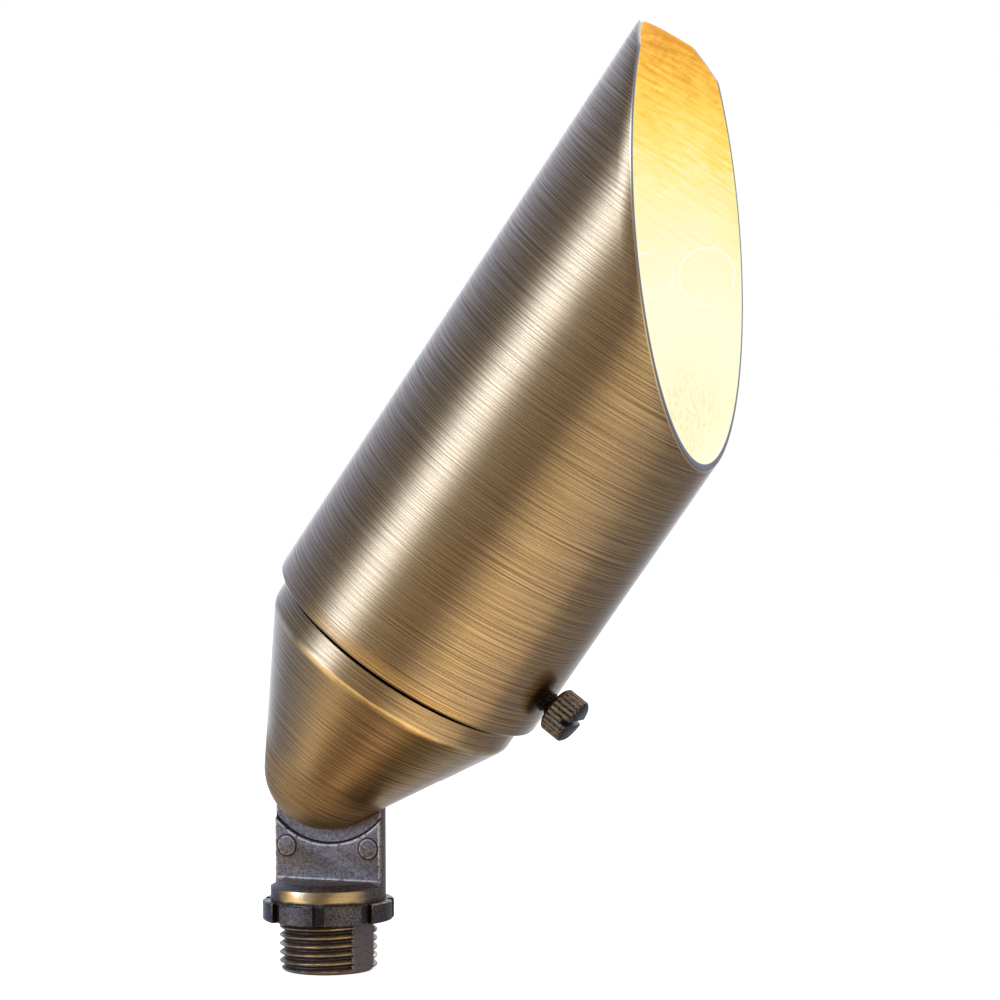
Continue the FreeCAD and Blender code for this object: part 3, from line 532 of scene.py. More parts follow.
def nut_bronze():
    """Darker bronze of the lock nut, with brass grazed through on its bevels and corners."""
    def build(nodes):
        nut = SPOTLIGHT_OT_lock_nut
        turned = stem_turned(nodes)
        place = nodes.place()
        sand = nodes.noise(place, 3000.0, 2.0, 0.7)
        patch = nodes.noise(place, 420.0, 3.0)
        edge = nodes.fade(turned.height, nut.top - 0.4 * MM, nut.top - 0.15 * MM).most(
            nodes.fade(turned.height, nut.bottom + 0.4 * MM, nut.bottom + 0.15 * MM))
        corner = nodes.band(turned.radius, nut.lug - 0.28 * MM, nut.lug - 0.06 * MM, 0.04 * MM)
        worn = (edge * nodes.fade(patch, 0.5, 0.68) * 0.4).most(
            corner * nodes.fade(patch, 0.46, 0.62) * 0.5)
        slot = nodes.fade(turned.radius, nut.lug - 0.4 * MM, nut.root + 0.4 * MM) \
            * nodes.band(turned.height, nut.bottom + 0.25 * MM, nut.top - 0.25 * MM)
        skin = nodes.blend(nodes.fade(sand, 0.36, 0.64), NUT_HOLLOW, NUT_SKIN)
        skin = nodes.blend(nodes.fade(patch, 0.66, 0.78) * 0.5, skin, NUT_PATCH)
        skin = nodes.blend(slot * 0.6, skin, NUT_SLOT)
        base = nodes.blend(worn, skin, colour("worn_edge"))
        return principled(nodes, Base_Color=base, Metallic=1.0, Roughness=0.46 - patch * 0.12,
                          Normal=nodes.bump(sand * 0.7 + patch * 0.3, 0.03 * MM))
    return finish("nut_bronze", build)


def screw_bronze():
    """Dark bronze of the thumb screw, worn bright on its knurls."""
    def build(nodes):
        screw = SPOTLIGHT_OT_thumb_screw
        turned = Turned(nodes, PIVOT + UP * screw.height, OUT, UP, ASIDE)
        grain = nodes.noise(nodes.place(), 1800.0, 3.0)
        crest = nodes.fade(turned.radius + (grain - 0.5) * 0.4 * MM, screw.head - 0.3 * MM,
                           screw.head)
        skin = nodes.blend(nodes.fade(grain, 0.35, 0.7), SCREW_HOLLOW, SCREW_SKIN)
        base = nodes.blend(crest * 0.3, skin, colour("worn_edge"))
        return principled(nodes, Base_Color=base, Metallic=1.0, Roughness=0.42 - crest * 0.12,
                          Normal=nodes.bump(grain, 0.02 * MM))
    return finish("screw_bronze", build)


def plain_metal(name, shade, roughness):
    """Machined metal with faint tool marks and finger-dulled patches."""
    def build(nodes):
        place = nodes.place()
        marks = nodes.noise(place, 900.0, 3.0)
        patches = nodes.noise(place, 120.0, 2.0)
        darker = tuple(0.72 * part for part in shade)
        base = nodes.blend(nodes.fade(marks + patches * 0.4, 0.45, 0.95), darker + (1.0,),
                           shade + (1.0,))
        return principled(nodes, Base_Color=base, Metallic=1.0,
                          Roughness=roughness + patches * 0.12, Normal=nodes.bump(marks, 0.01 * MM))
    return finish(name, build)


def moulded(name, shade, roughness):
    """Moulded rubber, plastic or ceramic with a fine grain."""
    def build(nodes):
        place = nodes.place()
        grain = nodes.noise(place, 4200.0, 2.0)
        bloom = nodes.noise(place, 240.0, 3.0)
        paler = tuple(min(1.0, 1.5 * part + 0.01) for part in shade)
        base = nodes.blend(nodes.fade(bloom, 0.4, 0.75), shade + (1.0,), paler + (1.0,))
        return principled(nodes, Base_Color=base, Roughness=roughness + bloom * 0.15,
                          Normal=nodes.bump(grain, 0.012 * MM))
    return finish(name, build)


def steel():
    return plain_metal("steel", (0.52, 0.5, 0.47), 0.3)


def nickel():
    return plain_metal("nickel", (0.6, 0.57, 0.52), 0.25)


def ceramic():
    return moulded("ceramic", (0.74, 0.72, 0.66), 0.45)


def seal_rubber():
    return moulded("seal_rubber", (0.02, 0.02, 0.021), 0.5)


def glass(name, tint, roughness=0.01):
    """Clear glass with a faint smear."""
    def build(nodes):
        smear = nodes.noise(nodes.place(), 60.0, 2.0)
        return principled(nodes, Base_Color=tint + (1.0,), Roughness=roughness + smear * 0.02,
                          Transmission_Weight=1.0, IOR=1.5)
    return finish(name, build)


def lamp_mirror():
    """Vapour-coated dish: bright and slightly dimpled."""
    def build(nodes):
        dimples = nodes.node("TexVoronoi", None, {"Vector": nodes.place(), "Scale": 420.0},
                             "Distance")
        base = nodes.blend(nodes.fade(dimples, 0.1, 0.6), (0.93, 0.91, 0.86, 1.0),
                           (0.78, 0.76, 0.72, 1.0))
        return principled(nodes, Base_Color=base, Metallic=1.0, Roughness=0.12,
                          Normal=nodes.bump(dimples, 0.12 * MM))
    return finish("lamp_mirror", build)


def glowing_capsule():
    """Frosted capsule, alight, with a faint grain."""
    def build(nodes):
        grain = nodes.noise(nodes.place(), 1500.0, 2.0)
        shade = nodes.blend(grain, (1.0, 0.72, 0.36, 1.0), (1.0, 0.9, 0.66, 1.0))
        return principled(nodes, Base_Color=(0.9, 0.86, 0.75, 1.0), Roughness=0.4,
                          Emission_Color=shade, Emission_Strength=14.0)
    return finish("glowing_capsule", build)


def dress(names, material):
    """Give CAD nodes their finish."""
    for name in names:
        node = frame["nodes"][name]
        if not node.material_slots:
            node.data.materials.append(material)
        for slot in node.material_slots:
            slot.material = material


# ---------------------------------------------------------------- mesh helpers

def mesh_object(name, mesh, body, material, sharp=35.0):
    """Link a finished mesh as a piece that rides on a CAD body."""
    piece = bpy.data.objects.new(name, mesh)
    bpy.context.scene.collection.objects.link(piece)
    mesh.materials.clear()
    mesh.materials.append(material)
    mesh.shade_smooth()
    mesh.set_sharp_from_angle(angle=math.radians(sharp))
    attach(piece, body)
    return piece


def ring_mesh(name, rings, closed=False):
    """Quads through rings of points; closed joins the last to the first, else both are capped."""
    count = len(rings[0])
    points = [point for ring in rings for point in ring]
    faces = []
    pairs = len(rings) if closed else len(rings) - 1
    for ring in range(pairs):
        this, other = ring * count, (ring + 1) % len(rings) * count
        for step in range(count):
            after = (step + 1) % count
            faces.append((this + step, this + after, other + after, other + step))
    if not closed:
        faces.append(tuple(reversed(range(count))))
        faces.append(tuple(range(len(points) - count, len(points))))
    mesh = bpy.data.meshes.new(name)
    mesh.from_pydata(points, [], faces)
    mesh.validate()
    tidy_normals(mesh)
    return mesh


def tidy_normals(mesh):
    work = bmesh.new()
    work.from_mesh(mesh)
    bmesh.ops.remove_doubles(work, verts=work.verts, dist=1e-6)
    bmesh.ops.recalc_face_normals(work, faces=work.faces)
    work.to_mesh(mesh)
    work.free()


def circle(count):
    """Angles of equal steps round a circle."""
    return [FULL_TURN * step / count for step in range(count)]


def around(centre, axis, across, aside, radius, height, angle):
    """Point at a radius, height and angle about an axis."""
    return centre + axis * height + across * (radius * math.cos(angle)) \
        + aside * (radius * math.sin(angle))


def with_cut(mesh, cutter):
    """The mesh less the cutter's."""
    scene = bpy.context.scene
    whole = bpy.data.objects.new("whole", mesh)
    tool = bpy.data.objects.new("tool", cutter)
    for item in (whole, tool):
        scene.collection.objects.link(item)
    cutting = whole.modifiers.new("cut", "BOOLEAN")
    cutting.operation = "DIFFERENCE"
    cutting.solver = "EXACT"
    cutting.object = tool
    bpy.context.view_layer.update()
    graph = bpy.context.evaluated_depsgraph_get()
    result = bpy.data.meshes.new_from_object(whole.evaluated_get(graph))
    for item in (whole, tool):
        bpy.data.objects.remove(item)
    return result


def rod_mesh(name, start, end, radius, sides=64):
    """Plain round cutter between two points."""
    along = (end - start).normalized()
    across = along.orthogonal().normalized()
    aside = along.cross(across)
    rings = [[around(place, along, across, aside, radius, 0.0, angle) for angle in circle(sides)]
             for place in (start, end)]
    return ring_mesh(name, rings)


# ---------------------------------------------------------------- pieces

class SPOTLIGHT_OT_shroud(bpy.types.Operator):
    """Thin tube with a rounded foot, and a slanted mouth that ends in a square tip"""
    bl_idname = "spotlight.shroud"
    bl_label = "Shroud"

    bottom, top = 32.5 * MM, 167.5 * MM
    tip_flat, bevel_run = 4.2 * MM, 6.0 * MM
    bevel_angle, mouth_angle = math.radians(29.7), math.radians(50.0)
    mouth_turn = math.radians(2.3)
    foot_round = 0.6 * MM
    hole_radius, hole_reach = 2.5 * MM, 4 * MM
    sides, side_rows, round_steps = 384, 24, 3

    def mouth(self, angle, radius):
        """Height of the mouth at an angle: a level tip, a short bevel and a long slant."""
        across = radius * math.cos(angle + self.mouth_turn)
        past_flat = max(across + sizes().shroud_radius - self.tip_flat, 0.0)
        past_bevel = max(past_flat - self.bevel_run, 0.0)
        bevel, slant = math.tan(self.bevel_angle), math.tan(self.mouth_angle)
        return self.top - past_flat * bevel - past_bevel * (slant - bevel)

    def profile(self):
        """Rings from the foot, up the outside, over the lip and down the inside.

        Each has a radius, its share of the way up to the mouth, or None at the foot, and its rise
        over that place.
        """
        size = sizes()
        outer, inner = size.shroud_radius, size.shroud_radius - size.shroud_wall
        lip, foot = size.lip_round, self.foot_round
        arc = [math.radians(90 * step / self.round_steps) for step in range(self.round_steps + 1)]
        shares = [step / self.side_rows for step in range(1, self.side_rows + 1)]
        rings = [(inner, None, 0.0)]
        rings += [(outer - foot + foot * math.sin(turn), None, foot - foot * math.cos(turn))
                  for turn in arc]
        rings += [(outer, share, -lip) for share in shares]
        rings += [(outer - lip + lip * math.cos(turn), 1.0, -lip + lip * math.sin(turn))
                  for turn in arc[1:]]
        rings += [(inner + lip - lip * math.sin(turn), 1.0, -lip + lip * math.cos(turn))
                  for turn in arc]
        rings += [(inner, share, -lip) for share in reversed(shares[:-1])]
        return rings

    def height_at(self, angle, radius, share, rise):
        """Height of a ring's point, over the head's pivot."""
        if share is None:
            return self.bottom + rise
        reach = self.mouth(angle, radius)
        if share == 1.0:
            return reach + rise
        foot_top = self.bottom + self.foot_round
        return foot_top + (reach - sizes().lip_round - foot_top) * share

    def execute(self, context):
        rings = [[around(PIVOT, UP, OUT, ASIDE, radius, self.height_at(angle, radius, share, rise),
                         angle) for angle in circle(self.sides)]
                 for radius, share, rise in self.profile()]
        tube = ring_mesh("shroud_tube", rings, closed=True)
        hole = PIVOT + UP * SPOTLIGHT_OT_thumb_screw.height
        outer = sizes().shroud_radius
        drill = rod_mesh("drill", hole + OUT * (outer - self.hole_reach),
                         hole + OUT * (outer + self.hole_reach), self.hole_radius)
        piece = mesh_object("shroud_tube", with_cut(tube, drill), "shroud",
                            shroud_brass())
        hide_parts("shroud")
        return {"FINISHED"}


class SPOTLIGHT_OT_housing(bpy.types.Operator):
    """Turned lamp housing in brushed brass"""
    bl_idname = "spotlight.housing"
    bl_label = "Housing"

    def execute(self, context):
        dress(["housing"], housing_brass())
        return {"FINISHED"}


class SPOTLIGHT_OT_stem(bpy.types.Operator):
    """Cast stem with softened edges on a cut thread that has one smooth side"""
    bl_idname = "spotlight.stem"
    bl_label = "Stem"

    cut_height = 11.75 * MM
    thread_top, thread_radius = 14.8 * MM, 10.4 * MM
    crest_share, flank_share, run_in = 0.14, 0.72, 0.85 * MM
    bore, bore_bevel = 4.0 * MM, 0.4 * MM
    sides, rows_a_turn = 288, 18

    def casting(self):
        """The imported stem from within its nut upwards, with its sharp edges rounded."""
        work = bmesh.new()
        work.from_mesh(frame["nodes"]["stem"].data)
        bmesh.ops.remove_doubles(work, verts=work.verts, dist=1e-6)
        cut = bmesh.ops.bisect_plane(work, geom=work.verts[:] + work.edges[:] + work.faces[:],
                                     plane_co=RISE * self.cut_height, plane_no=RISE,
                                     clear_inner=True)
        open_edges = [item for item in cut["geom_cut"] if isinstance(item, bmesh.types.BMEdge)]
        bmesh.ops.contextual_create(work, geom=open_edges)
        bmesh.ops.dissolve_limit(work, angle_limit=math.radians(1.0), verts=work.verts,
                                 edges=work.edges)
        sharp = [edge for edge in work.edges if len(edge.link_faces) == 2
                 and edge.calc_face_angle() > math.radians(32)]
        bmesh.ops.bevel(work, geom=sharp, offset=sizes().casting_round, segments=2, profile=0.6,
                        affect="EDGES", clamp_overlap=True)
        mesh = bpy.data.meshes.new("stem_casting")
        work.to_mesh(mesh)
        work.free()
        return mesh

    def radius_at(self, height, angle):
        """Radius of the thread, or of its smooth side, at a height and angle."""
        size = sizes()
        start = self.thread_radius - self.run_in + height
        off = (angle - size.thread_flat_side + math.pi) % FULL_TURN - math.pi
        if abs(off) < math.acos(size.thread_flat / self.thread_radius):
            return min(size.thread_flat / math.cos(off), start)
        turns = height / size.thread_pitch - angle / FULL_TURN
        saw = abs((turns % 1.0) * 2 - 1)
        groove = min(max((saw - self.crest_share) / self.flank_share, 0.0), 1.0)
        return min(self.thread_radius - size.thread_depth * groove, start)

    def thread(self):
        """Thread outside and bore inside, from the stem's lower end up into the casting."""
        def level(radius, height):
            return [around(FOOT, RISE, ACROSS, ASIDE, radius(angle), height, angle)
                    for angle in circle(self.sides)]
        rows = int(self.thread_top / sizes().thread_pitch * self.rows_a_turn)
        heights = [self.thread_top * row / rows for row in range(rows + 1)]
        outside = [level(lambda angle: self.radius_at(height, angle), height) for height in heights]
        inside = [level(lambda angle: radius, height)
                  for radius, height in ((self.bore, self.thread_top), (self.bore, self.bore_bevel),
                                         (self.bore + self.bore_bevel, 0.0))]
        return ring_mesh("stem_thread", outside + inside, closed=True)

    def execute(self, context):
        work = bmesh.new()
        work.from_mesh(self.casting())
        work.from_mesh(self.thread())
        mesh = bpy.data.meshes.new("cast_stem")
        work.to_mesh(mesh)
        work.free()
        piece = mesh_object("cast_stem", mesh, "stem", cast_bronze(), 28.0)
        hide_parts("stem")
        return {"FINISHED"}


class SPOTLIGHT_OT_lock_nut(bpy.types.Operator):
    """Round nut with eight slots and bevelled lugs"""
    bl_idname = "spotlight.lock_nut"
    bl_label = "Lock nut"

    bottom, top = 10.75 * MM, 14.95 * MM
    bore, root, lug = 10.45 * MM, 12.8 * MM, 14.0 * MM
    slots, slot_width, corner = 8, 2.6 * MM, 0.25 * MM
    phase = math.radians(16.6)

    def outline(self):
        """Angles and radii round the nut, with steps at the slots' sides."""
        half_root = math.asin(self.slot_width / 2 / self.root)
        half_lug = math.asin(self.slot_width / 2 / self.lug)
        pitch = FULL_TURN / self.slots
        ease = self.corner / self.lug
        places = []
        for slot in range(self.slots):
            middle = slot * pitch + self.phase
            start, end = middle + half_lug, middle + pitch - half_lug
            places += [(middle + half_root * step / 3, self.root) for step in range(-3, 4)]
            places += [(start, self.lug - self.corner)]
            places += [(start + ease + (end - start - 2 * ease) * step / 10, self.lug)
                       for step in range(11)]
            places += [(end, self.lug - self.corner)]
        return places

    def execute(self, context):
        edge, bottom, top = sizes().nut_edge, self.bottom, self.top
        outside = ((-edge, bottom), (0.0, bottom + edge), (0.0, top - edge), (-edge, top))
        rings = [[around(FOOT, RISE, ACROSS, ASIDE, radius + grow, height, angle)
                  for angle, radius in self.outline()] for grow, height in outside]
        bore = [[around(FOOT, RISE, ACROSS, ASIDE, self.bore, height, angle)
                 for angle, radius in self.outline()] for height in (bottom, top)]
        rings = [bore[0]] + rings + [bore[1]]
        piece = mesh_object("slotted_nut", ring_mesh("slotted_nut", rings, closed=True), "lock_nut",
                            nut_bronze(), 28.0)
        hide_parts("lock_nut")
        return {"FINISHED"}


class SPOTLIGHT_OT_thumb_screw(bpy.types.Operator):
    """Knurled, slotted thumb screw on a threaded shank, and its soft tip"""
    bl_idname = "spotlight.thumb_screw"
    bl_label = "Thumb screw"

    height = 41.8 * MM
    inner_end, head_back, head_front = 30.23 * MM, 33.75 * MM, 39.35 * MM
    shank, head, pitch, thread_depth = 2.45 * MM, 5.0 * MM, 0.8 * MM, 0.42 * MM
    edge_round, knurl_fade = 0.75 * MM, 0.5 * MM
    slot_width, slot_depth, past_head = 1.2 * MM, 1.6 * MM, 1.0 * MM
    sides, shank_rows, head_rows = 312, 60, 36

    def radius_at(self, reach, angle):
        """Radius of the screw at a distance from the head's axis."""
        if reach < self.head_back:
            turns = reach / self.pitch - angle / FULL_TURN
            return self.shank - self.thread_depth * abs((turns % 1.0) * 2 - 1)
        into = min(reach - self.head_back, self.head_front - reach)
        soften = self.edge_round * (1 - min(into / self.edge_round, 1.0)) ** 1.6
        ridges = abs(math.sin(angle * sizes().knurl_count / 2))
        knurl = sizes().knurl_depth * (1 - ridges ** 0.8) * min(into / self.knurl_fade, 1.0)
        return self.head - soften - knurl

    def slot_cutter(self, centre):
        """Block that cuts the screwdriver slot, which runs across the head."""
        half, side = self.slot_width / 2, self.head + 2 * MM
        corners = ((-half, -side), (half, -side), (half, side), (-half, side))
        return ring_mesh("slot", [[centre + OUT * reach + UP * along + ASIDE * over
                                   for along, over in corners]
                                  for reach in (self.head_front - self.slot_depth,
                                                self.head_front + self.past_head)])

    def execute(self, context):
        centre = PIVOT + UP * self.height
        reaches = [self.inner_end + (self.head_back - self.inner_end) * row / self.shank_rows
                   for row in range(self.shank_rows)]
        reaches += [self.head_back + (self.head_front - self.head_back) * row / self.head_rows
                    for row in range(self.head_rows + 1)]
        rings = [[around(centre, OUT, UP, ASIDE, self.radius_at(reach, angle), reach, angle)
                  for angle in circle(self.sides)] for reach in reaches]
        screw = ring_mesh("knurled_screw", rings)
        piece = mesh_object("knurled_screw", with_cut(screw, self.slot_cutter(centre)),
                            "thumb_screw", screw_bronze(), 40.0)
        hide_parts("thumb_screw")
        dress(["thumb_screw_tip"], moulded("tip_nylon", (0.72, 0.69, 0.6), 0.35))
        return {"FINISHED"}


class SPOTLIGHT_OT_knuckle(bpy.types.Operator):
    """Knuckle screw, its spring washer and the rubber ring round the cable's way"""
    bl_idname = "spotlight.knuckle"
    bl_label = "Knuckle"

    def execute(self, context):
        dress(["knuckle_screw"], steel())
        dress(["spring_washer"], plain_metal("spring_steel", (0.4, 0.39, 0.38), 0.36))
        dress(["knuckle_seal"], seal_rubber())
        return {"FINISHED"}


class SPOTLIGHT_OT_neck_seals(bpy.types.Operator):
    """Two rubber rings between the neck and the shroud"""
    bl_idname = "spotlight.neck_seals"
    bl_label = "Neck seals"

    def execute(self, context):
        dress(["neck_seals"], seal_rubber())
        return {"FINISHED"}


class SPOTLIGHT_OT_lens(bpy.types.Operator):
    """Lens glass on its gasket, under a screwed ring"""
    bl_idname = "spotlight.lens"
    bl_label = "Lens"

    def execute(self, context):
        dress(["lens"], glass("clear_glass", (0.96, 0.99, 0.98)))
        dress(["lens_gasket"], moulded("silicone", (0.55, 0.2, 0.13), 0.5))
        dress(["lens_ring"], plain_metal("turned_brass", (0.66, 0.46, 0.22), 0.28))
        return {"FINISHED"}


class SPOTLIGHT_OT_lamp(bpy.types.Operator):
    """Two-pin reflector lamp, alight"""
    bl_idname = "spotlight.lamp"
    bl_label = "Lamp"

    def execute(self, context):
        dress(["lamp_reflector"], lamp_mirror())
        dress(["lamp_glass"], glass("lamp_glass", (0.98, 0.98, 0.95), 0.04))
        dress(["lamp_base"], ceramic())
        dress(["lamp_pins"], nickel())
        dress(["lamp_emitter"], glowing_capsule())
        return {"FINISHED"}


class SPOTLIGHT_OT_lampholder(bpy.types.Operator):
    """Ceramic lampholder with its contacts, on a screwed strap"""
    bl_idname = "spotlight.lampholder"
    bl_label = "Lampholder"

    def execute(self, context):
        dress(["lampholder"], ceramic())
        dress(["lampholder_contacts"], nickel())
        dress(["lampholder_bracket", "bracket_screws"], steel())
        return {"FINISHED"}


class SPOTLIGHT_OT_wiring(bpy.types.Operator):
    """Lampholder leads, crimp connectors and the cable's grommet"""
    bl_idname = "spotlight.wiring"
    bl_label = "Wiring"

    def execute(self, context):
        dress(["lampholder_leads"], moulded("lead_insulation", (0.7, 0.68, 0.62), 0.5))
        dress(["crimp_connectors"], moulded("connector_plastic", (0.05, 0.12, 0.4), 0.4))
        dress(["cable_grommet"], seal_rubber())
        return {"FINISHED"}


# ---------------------------------------------------------------- studio

class SPOTLIGHT_OT_stage(bpy.types.Operator):
    """Pale floor, soft studio light, the lamp's own light and the camera"""
    bl_idname = "spotlight.stage"
    bl_label = "Stage"

    # Studio light by its angle round the head's axis from the camera's side: degrees, then its
    # red, green and blue.
    surround = [
        (-180, 1.8, 1.9, 2.0), (-165, 1.0, 1.15, 1.4), (-150, 0.60, 0.72, 1.0),
        (-128, 0.36, 0.47, 0.86), (-106, 0.205, 0.255, 0.44), (-92, 0.172, 0.193, 0.285),
        (-80, 0.13, 0.14, 0.20), (-69, 0.66, 0.82, 1.22), (-60, 2.5, 3.45, 6.1),
        (-50, 2.6, 3.4, 5.6), (-43, 1.02, 1.24, 1.8), (-35, 0.32, 0.34, 0.41),
        (-18, 0.32, 0.295, 0.30),
        (2, 0.195, 0.19, 0.235), (18, 0.73, 0.71, 0.69), (38, 0.86, 0.86, 0.82),
        (62, 0.61, 0.61, 0.70), (84, 0.33, 0.34, 0.42), (112, 0.275, 0.28, 0.34),
        (132, 0.24, 0.265, 0.35), (150, 0.42, 0.47, 0.58), (165, 0.92, 1.0, 1.15),
        (180, 1.8, 1.9, 2.0)]
    # The same low down beyond the knuckle, where the cone looks.
    below = [
        (-180, 0.46, 0.51, 0.61), (-145, 0.38, 0.45, 0.64), (-120, 0.26, 0.32, 0.50),
        (-90, 0.40, 0.44, 0.54), (-60, 1.05, 0.96, 0.79), (-30, 0.35, 0.30, 0.235),
        (0, 0.275, 0.205, 0.15), (34, 0.32, 0.25, 0.185), (58, 0.78, 0.62, 0.46),
        (84, 0.11, 0.08, 0.055), (108, 0.15, 0.13, 0.10), (130, 0.42, 0.42, 0.42),
        (150, 0.77, 0.82, 0.9), (180, 0.65, 0.72, 0.85)]
    overhead, low_strip = (0.7, 0.7, 0.74, 1.0), (1.25, 1.0, 0.62, 1.0)
    plain_white = (1.0, 1.0, 1.0, 1.0)

    camera_side, camera_roll, camera_distance = math.radians(22.11), math.radians(-0.28), 0.6
    sensor_width, focal_widths = 36.0, 2.8082
    target_right, target_up = 37.06 * MM, 99.81 * MM
    floor_reach, floor_mottle, floor_glow = 3.0, (0.82, 0.81, 0.80, 1.0), 0.72
    side_turn, side_distance, side_height = math.radians(52.0), 0.26, -70 * MM
    side_width, side_tall, side_energy, side_colour = 0.28, 0.17, 0.05, (1.0, 0.86, 0.62)
    lamp_height, lamp_width, lamp_energy, lamp_colour = 78 * MM, 44 * MM, 0.06, (1.0, 0.78, 0.45)

    def camera(self, context):
        """Camera at the photograph's angle; gives the level way back towards it."""
        side, roll = self.camera_side, self.camera_roll
        right = Vector((math.cos(side), math.sin(side), 0))
        back = Vector((math.sin(side), -math.cos(side), 0))
        target = right * self.target_right + RISE * self.target_up
        level = right * math.cos(roll) + RISE * math.sin(roll)
        upward = RISE * math.cos(roll) - right * math.sin(roll)
        lens = bpy.data.cameras.new("camera")
        lens.sensor_width = self.sensor_width
        lens.lens = self.sensor_width * self.focal_widths
        lens.clip_start = 0.01
        seat = bpy.data.objects.new("camera", lens)
        seat.matrix_world = Matrix.Translation(target + back * self.camera_distance) @ Matrix(
            (level, upward, back)).transposed().to_4x4()
        context.scene.collection.objects.link(seat)
        context.scene.camera = seat
        return back

    def floor(self, context):
        reach = self.floor_reach
        mesh = bpy.data.meshes.new("floor")
        mesh.from_pydata([(-reach, -reach, 0), (reach, -reach, 0), (reach, reach, 0),
                          (-reach, reach, 0)], [], [(0, 1, 2, 3)])

        def build(nodes):
            grain = nodes.noise(nodes.place(), 30.0, 2.0)
            base = nodes.blend(grain * 0.3, colour("floor"), self.floor_mottle)
            return principled(nodes, Base_Color=base, Roughness=0.8,
                              Emission_Color=self.plain_white, Emission_Strength=self.floor_glow)
        mesh.materials.append(finish("floor_paint", build))
        ground = bpy.data.objects.new("floor", mesh)
        context.scene.collection.objects.link(ground)
        ground.visible_glossy = False

    def world(self, context, back):
        """Soft light from all round the head, warm and low in front; white to the camera."""
        world = bpy.data.worlds.new("studio")
        world.use_nodes = True
        context.scene.world = world
        nodes = Nodes(world.node_tree)
        way = nodes.node("TexCoord", None, None, "Generated")
        front = (back - UP * back.dot(UP)).normalized()
        ahead = nodes.vector("DOT_PRODUCT", way, front, "Value")
        over = nodes.vector("DOT_PRODUCT", way, UP.cross(front), "Value")
        along = nodes.vector("DOT_PRODUCT", way, UP, "Value")
        share = over.maths("ARCTAN2", over, ahead) * (1 / FULL_TURN) + 0.5

        def ring(table):
            stops = [((degrees + 180) / 360, (red, green, blue, 1.0))
                     for degrees, red, green, blue in table]
            return nodes.node("ValToRGB", {"stops": stops}, {"Fac": share}, "Color")
        sky = nodes.blend(nodes.fade(along, 0.45, 0.85), ring(self.surround), self.overhead)
        strip = nodes.fade(along, -0.40, -0.50) * nodes.fade(ahead, -0.1, 0.4)
        sky = nodes.blend(strip, sky, self.low_strip)
        sky = nodes.blend(nodes.fade(along, -0.56, -0.70), sky, ring(self.below))
        light = nodes.node("Background", None, {"Color": sky, "Strength": 1.0})
        white = nodes.node("Background", None, {"Color": self.plain_white, "Strength": 1.0})
        seen = nodes.node("LightPath", None, None, "Is Camera Ray")
        mixed = nodes.node("MixShader", None, {0: seen, 1: light, 2: white})
        nodes.node("OutputWorld", None, {"Surface": mixed})

    def area_light(self, context, name, shape, width, shade, energy, matrix):
        """Link an area light that the camera doesn't see."""
        light = bpy.data.lights.new(name, "AREA")
        light.shape = shape
        light.size = width
        light.color = shade
        light.energy = energy
        seat = bpy.data.objects.new(name, light)
        seat.matrix_world = matrix
        context.scene.collection.objects.link(seat)
        seat.visible_camera = False
        return seat

    def side_light(self, context, back):
        """Broad light low on the camera's right, which gilds the lower part of the shroud."""
        front = (back - UP * back.dot(UP)).normalized()
        way = front * math.cos(self.side_turn) + UP.cross(front) * math.sin(self.side_turn)
        place = PIVOT + UP * self.side_height + way * self.side_distance
        matrix = Matrix.Translation(place) @ Matrix((way.cross(UP), UP, way)).transposed().to_4x4()
        seat = self.area_light(context, "side_light", "RECTANGLE", self.side_width,
                               self.side_colour, self.side_energy, matrix)
        seat.data.size_y = self.side_tall

    def lamplight(self, context):
        """Warm disc of light just over the lens, which moves with the head."""
        matrix = Matrix.Translation(PIVOT + UP * self.lamp_height) \
            @ UP.to_track_quat("-Z", "Y").to_matrix().to_4x4()
        seat = self.area_light(context, "lamplight", "DISK", self.lamp_width, self.lamp_colour,
                               self.lamp_energy, matrix)
        seat.visible_glossy = False
        seat.parent = frame["bodies"]["head"]

    def execute(self, context):
        context.scene.view_settings.view_transform = "Standard"
        back = self.camera(context)
        self.floor(context)
        self.world(context, back)
        self.side_light(context, back)
        self.lamplight(context)
        return {"FINISHED"}


# ---------------------------------------------------------------- add-on

PIECES = (SPOTLIGHT_OT_stage, SPOTLIGHT_OT_stem, SPOTLIGHT_OT_lock_nut, SPOTLIGHT_OT_housing,
          SPOTLIGHT_OT_shroud, SPOTLIGHT_OT_thumb_screw, SPOTLIGHT_OT_knuckle,
          SPOTLIGHT_OT_neck_seals, SPOTLIGHT_OT_lens, SPOTLIGHT_OT_lamp, SPOTLIGHT_OT_lampholder,
          SPOTLIGHT_OT_wiring)


class SPOTLIGHT_PT_panel(bpy.types.Panel):
    """Settings and pieces of the spotlight"""
    bl_idname = "SPOTLIGHT_PT_panel"
    bl_label = "Garden spotlight"
    bl_space_type = "VIEW_3D"
    bl_region_type = "UI"
    bl_category = "Spotlight"

    def draw(self, context):
        for group in (context.scene.spotlight_sizes, context.scene.spotlight_colours):
            box = self.layout.box()
            for name in group.bl_rna.properties.keys():
                if name not in ("rna_type", "name"):
                    box.prop(group, name)
        for piece in PIECES:
            self.layout.operator(piece.bl_idname)


CLASSES = (SPOTLIGHT_PG_sizes, SPOTLIGHT_PG_colours) + PIECES + (SPOTLIGHT_PT_panel,)


def register():
    for item in CLASSES:
        bpy.utils.register_class(item)
    bpy.types.Scene.spotlight_sizes = PointerProperty(type=SPOTLIGHT_PG_sizes)
    bpy.types.Scene.spotlight_colours = PointerProperty(type=SPOTLIGHT_PG_colours)


def unregister():
    del bpy.types.Scene.spotlight_colours
    del bpy.types.Scene.spotlight_sizes
    for item in reversed(CLASSES):
        bpy.utils.unregister_class(item)


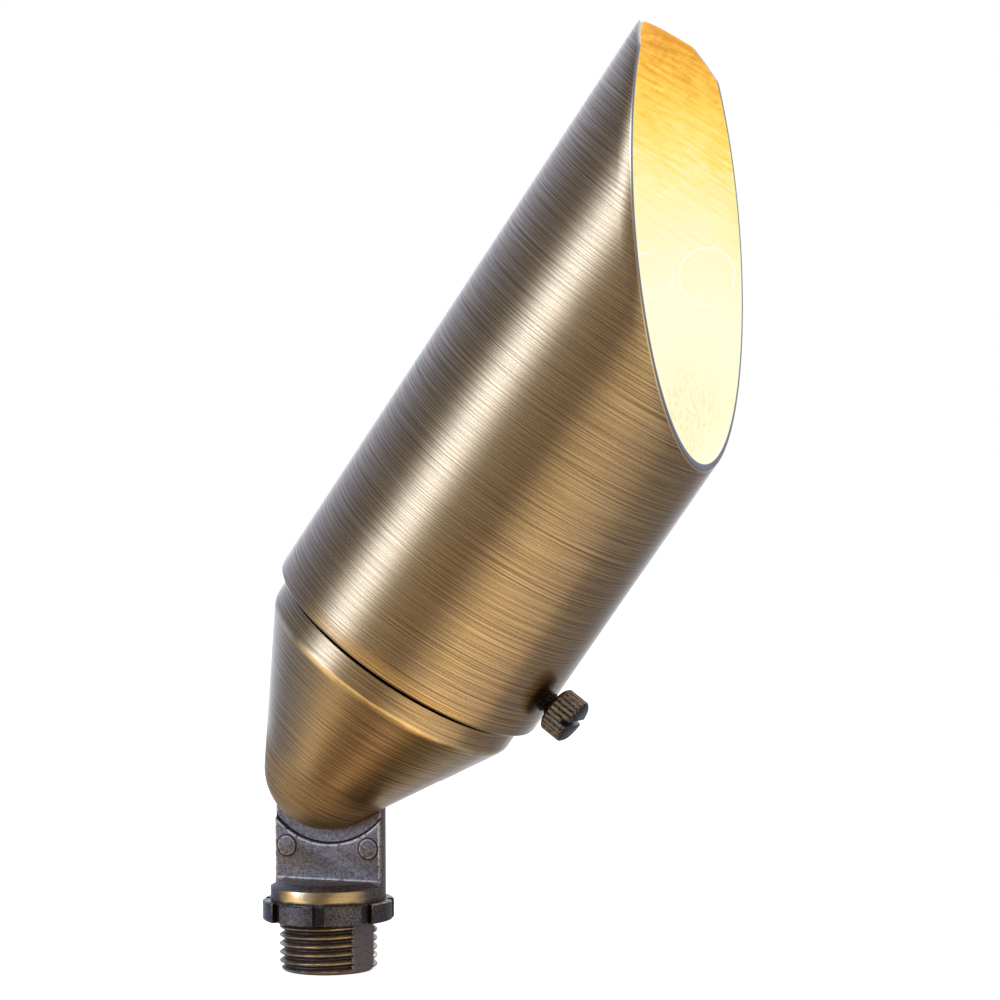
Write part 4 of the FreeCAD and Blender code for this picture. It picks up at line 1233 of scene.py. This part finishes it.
def main():
    register()
    for piece in PIECES:
        family, name = piece.bl_idname.split(".")
        getattr(getattr(bpy.ops, family), name)()


if __name__ == "__main__":
    main()
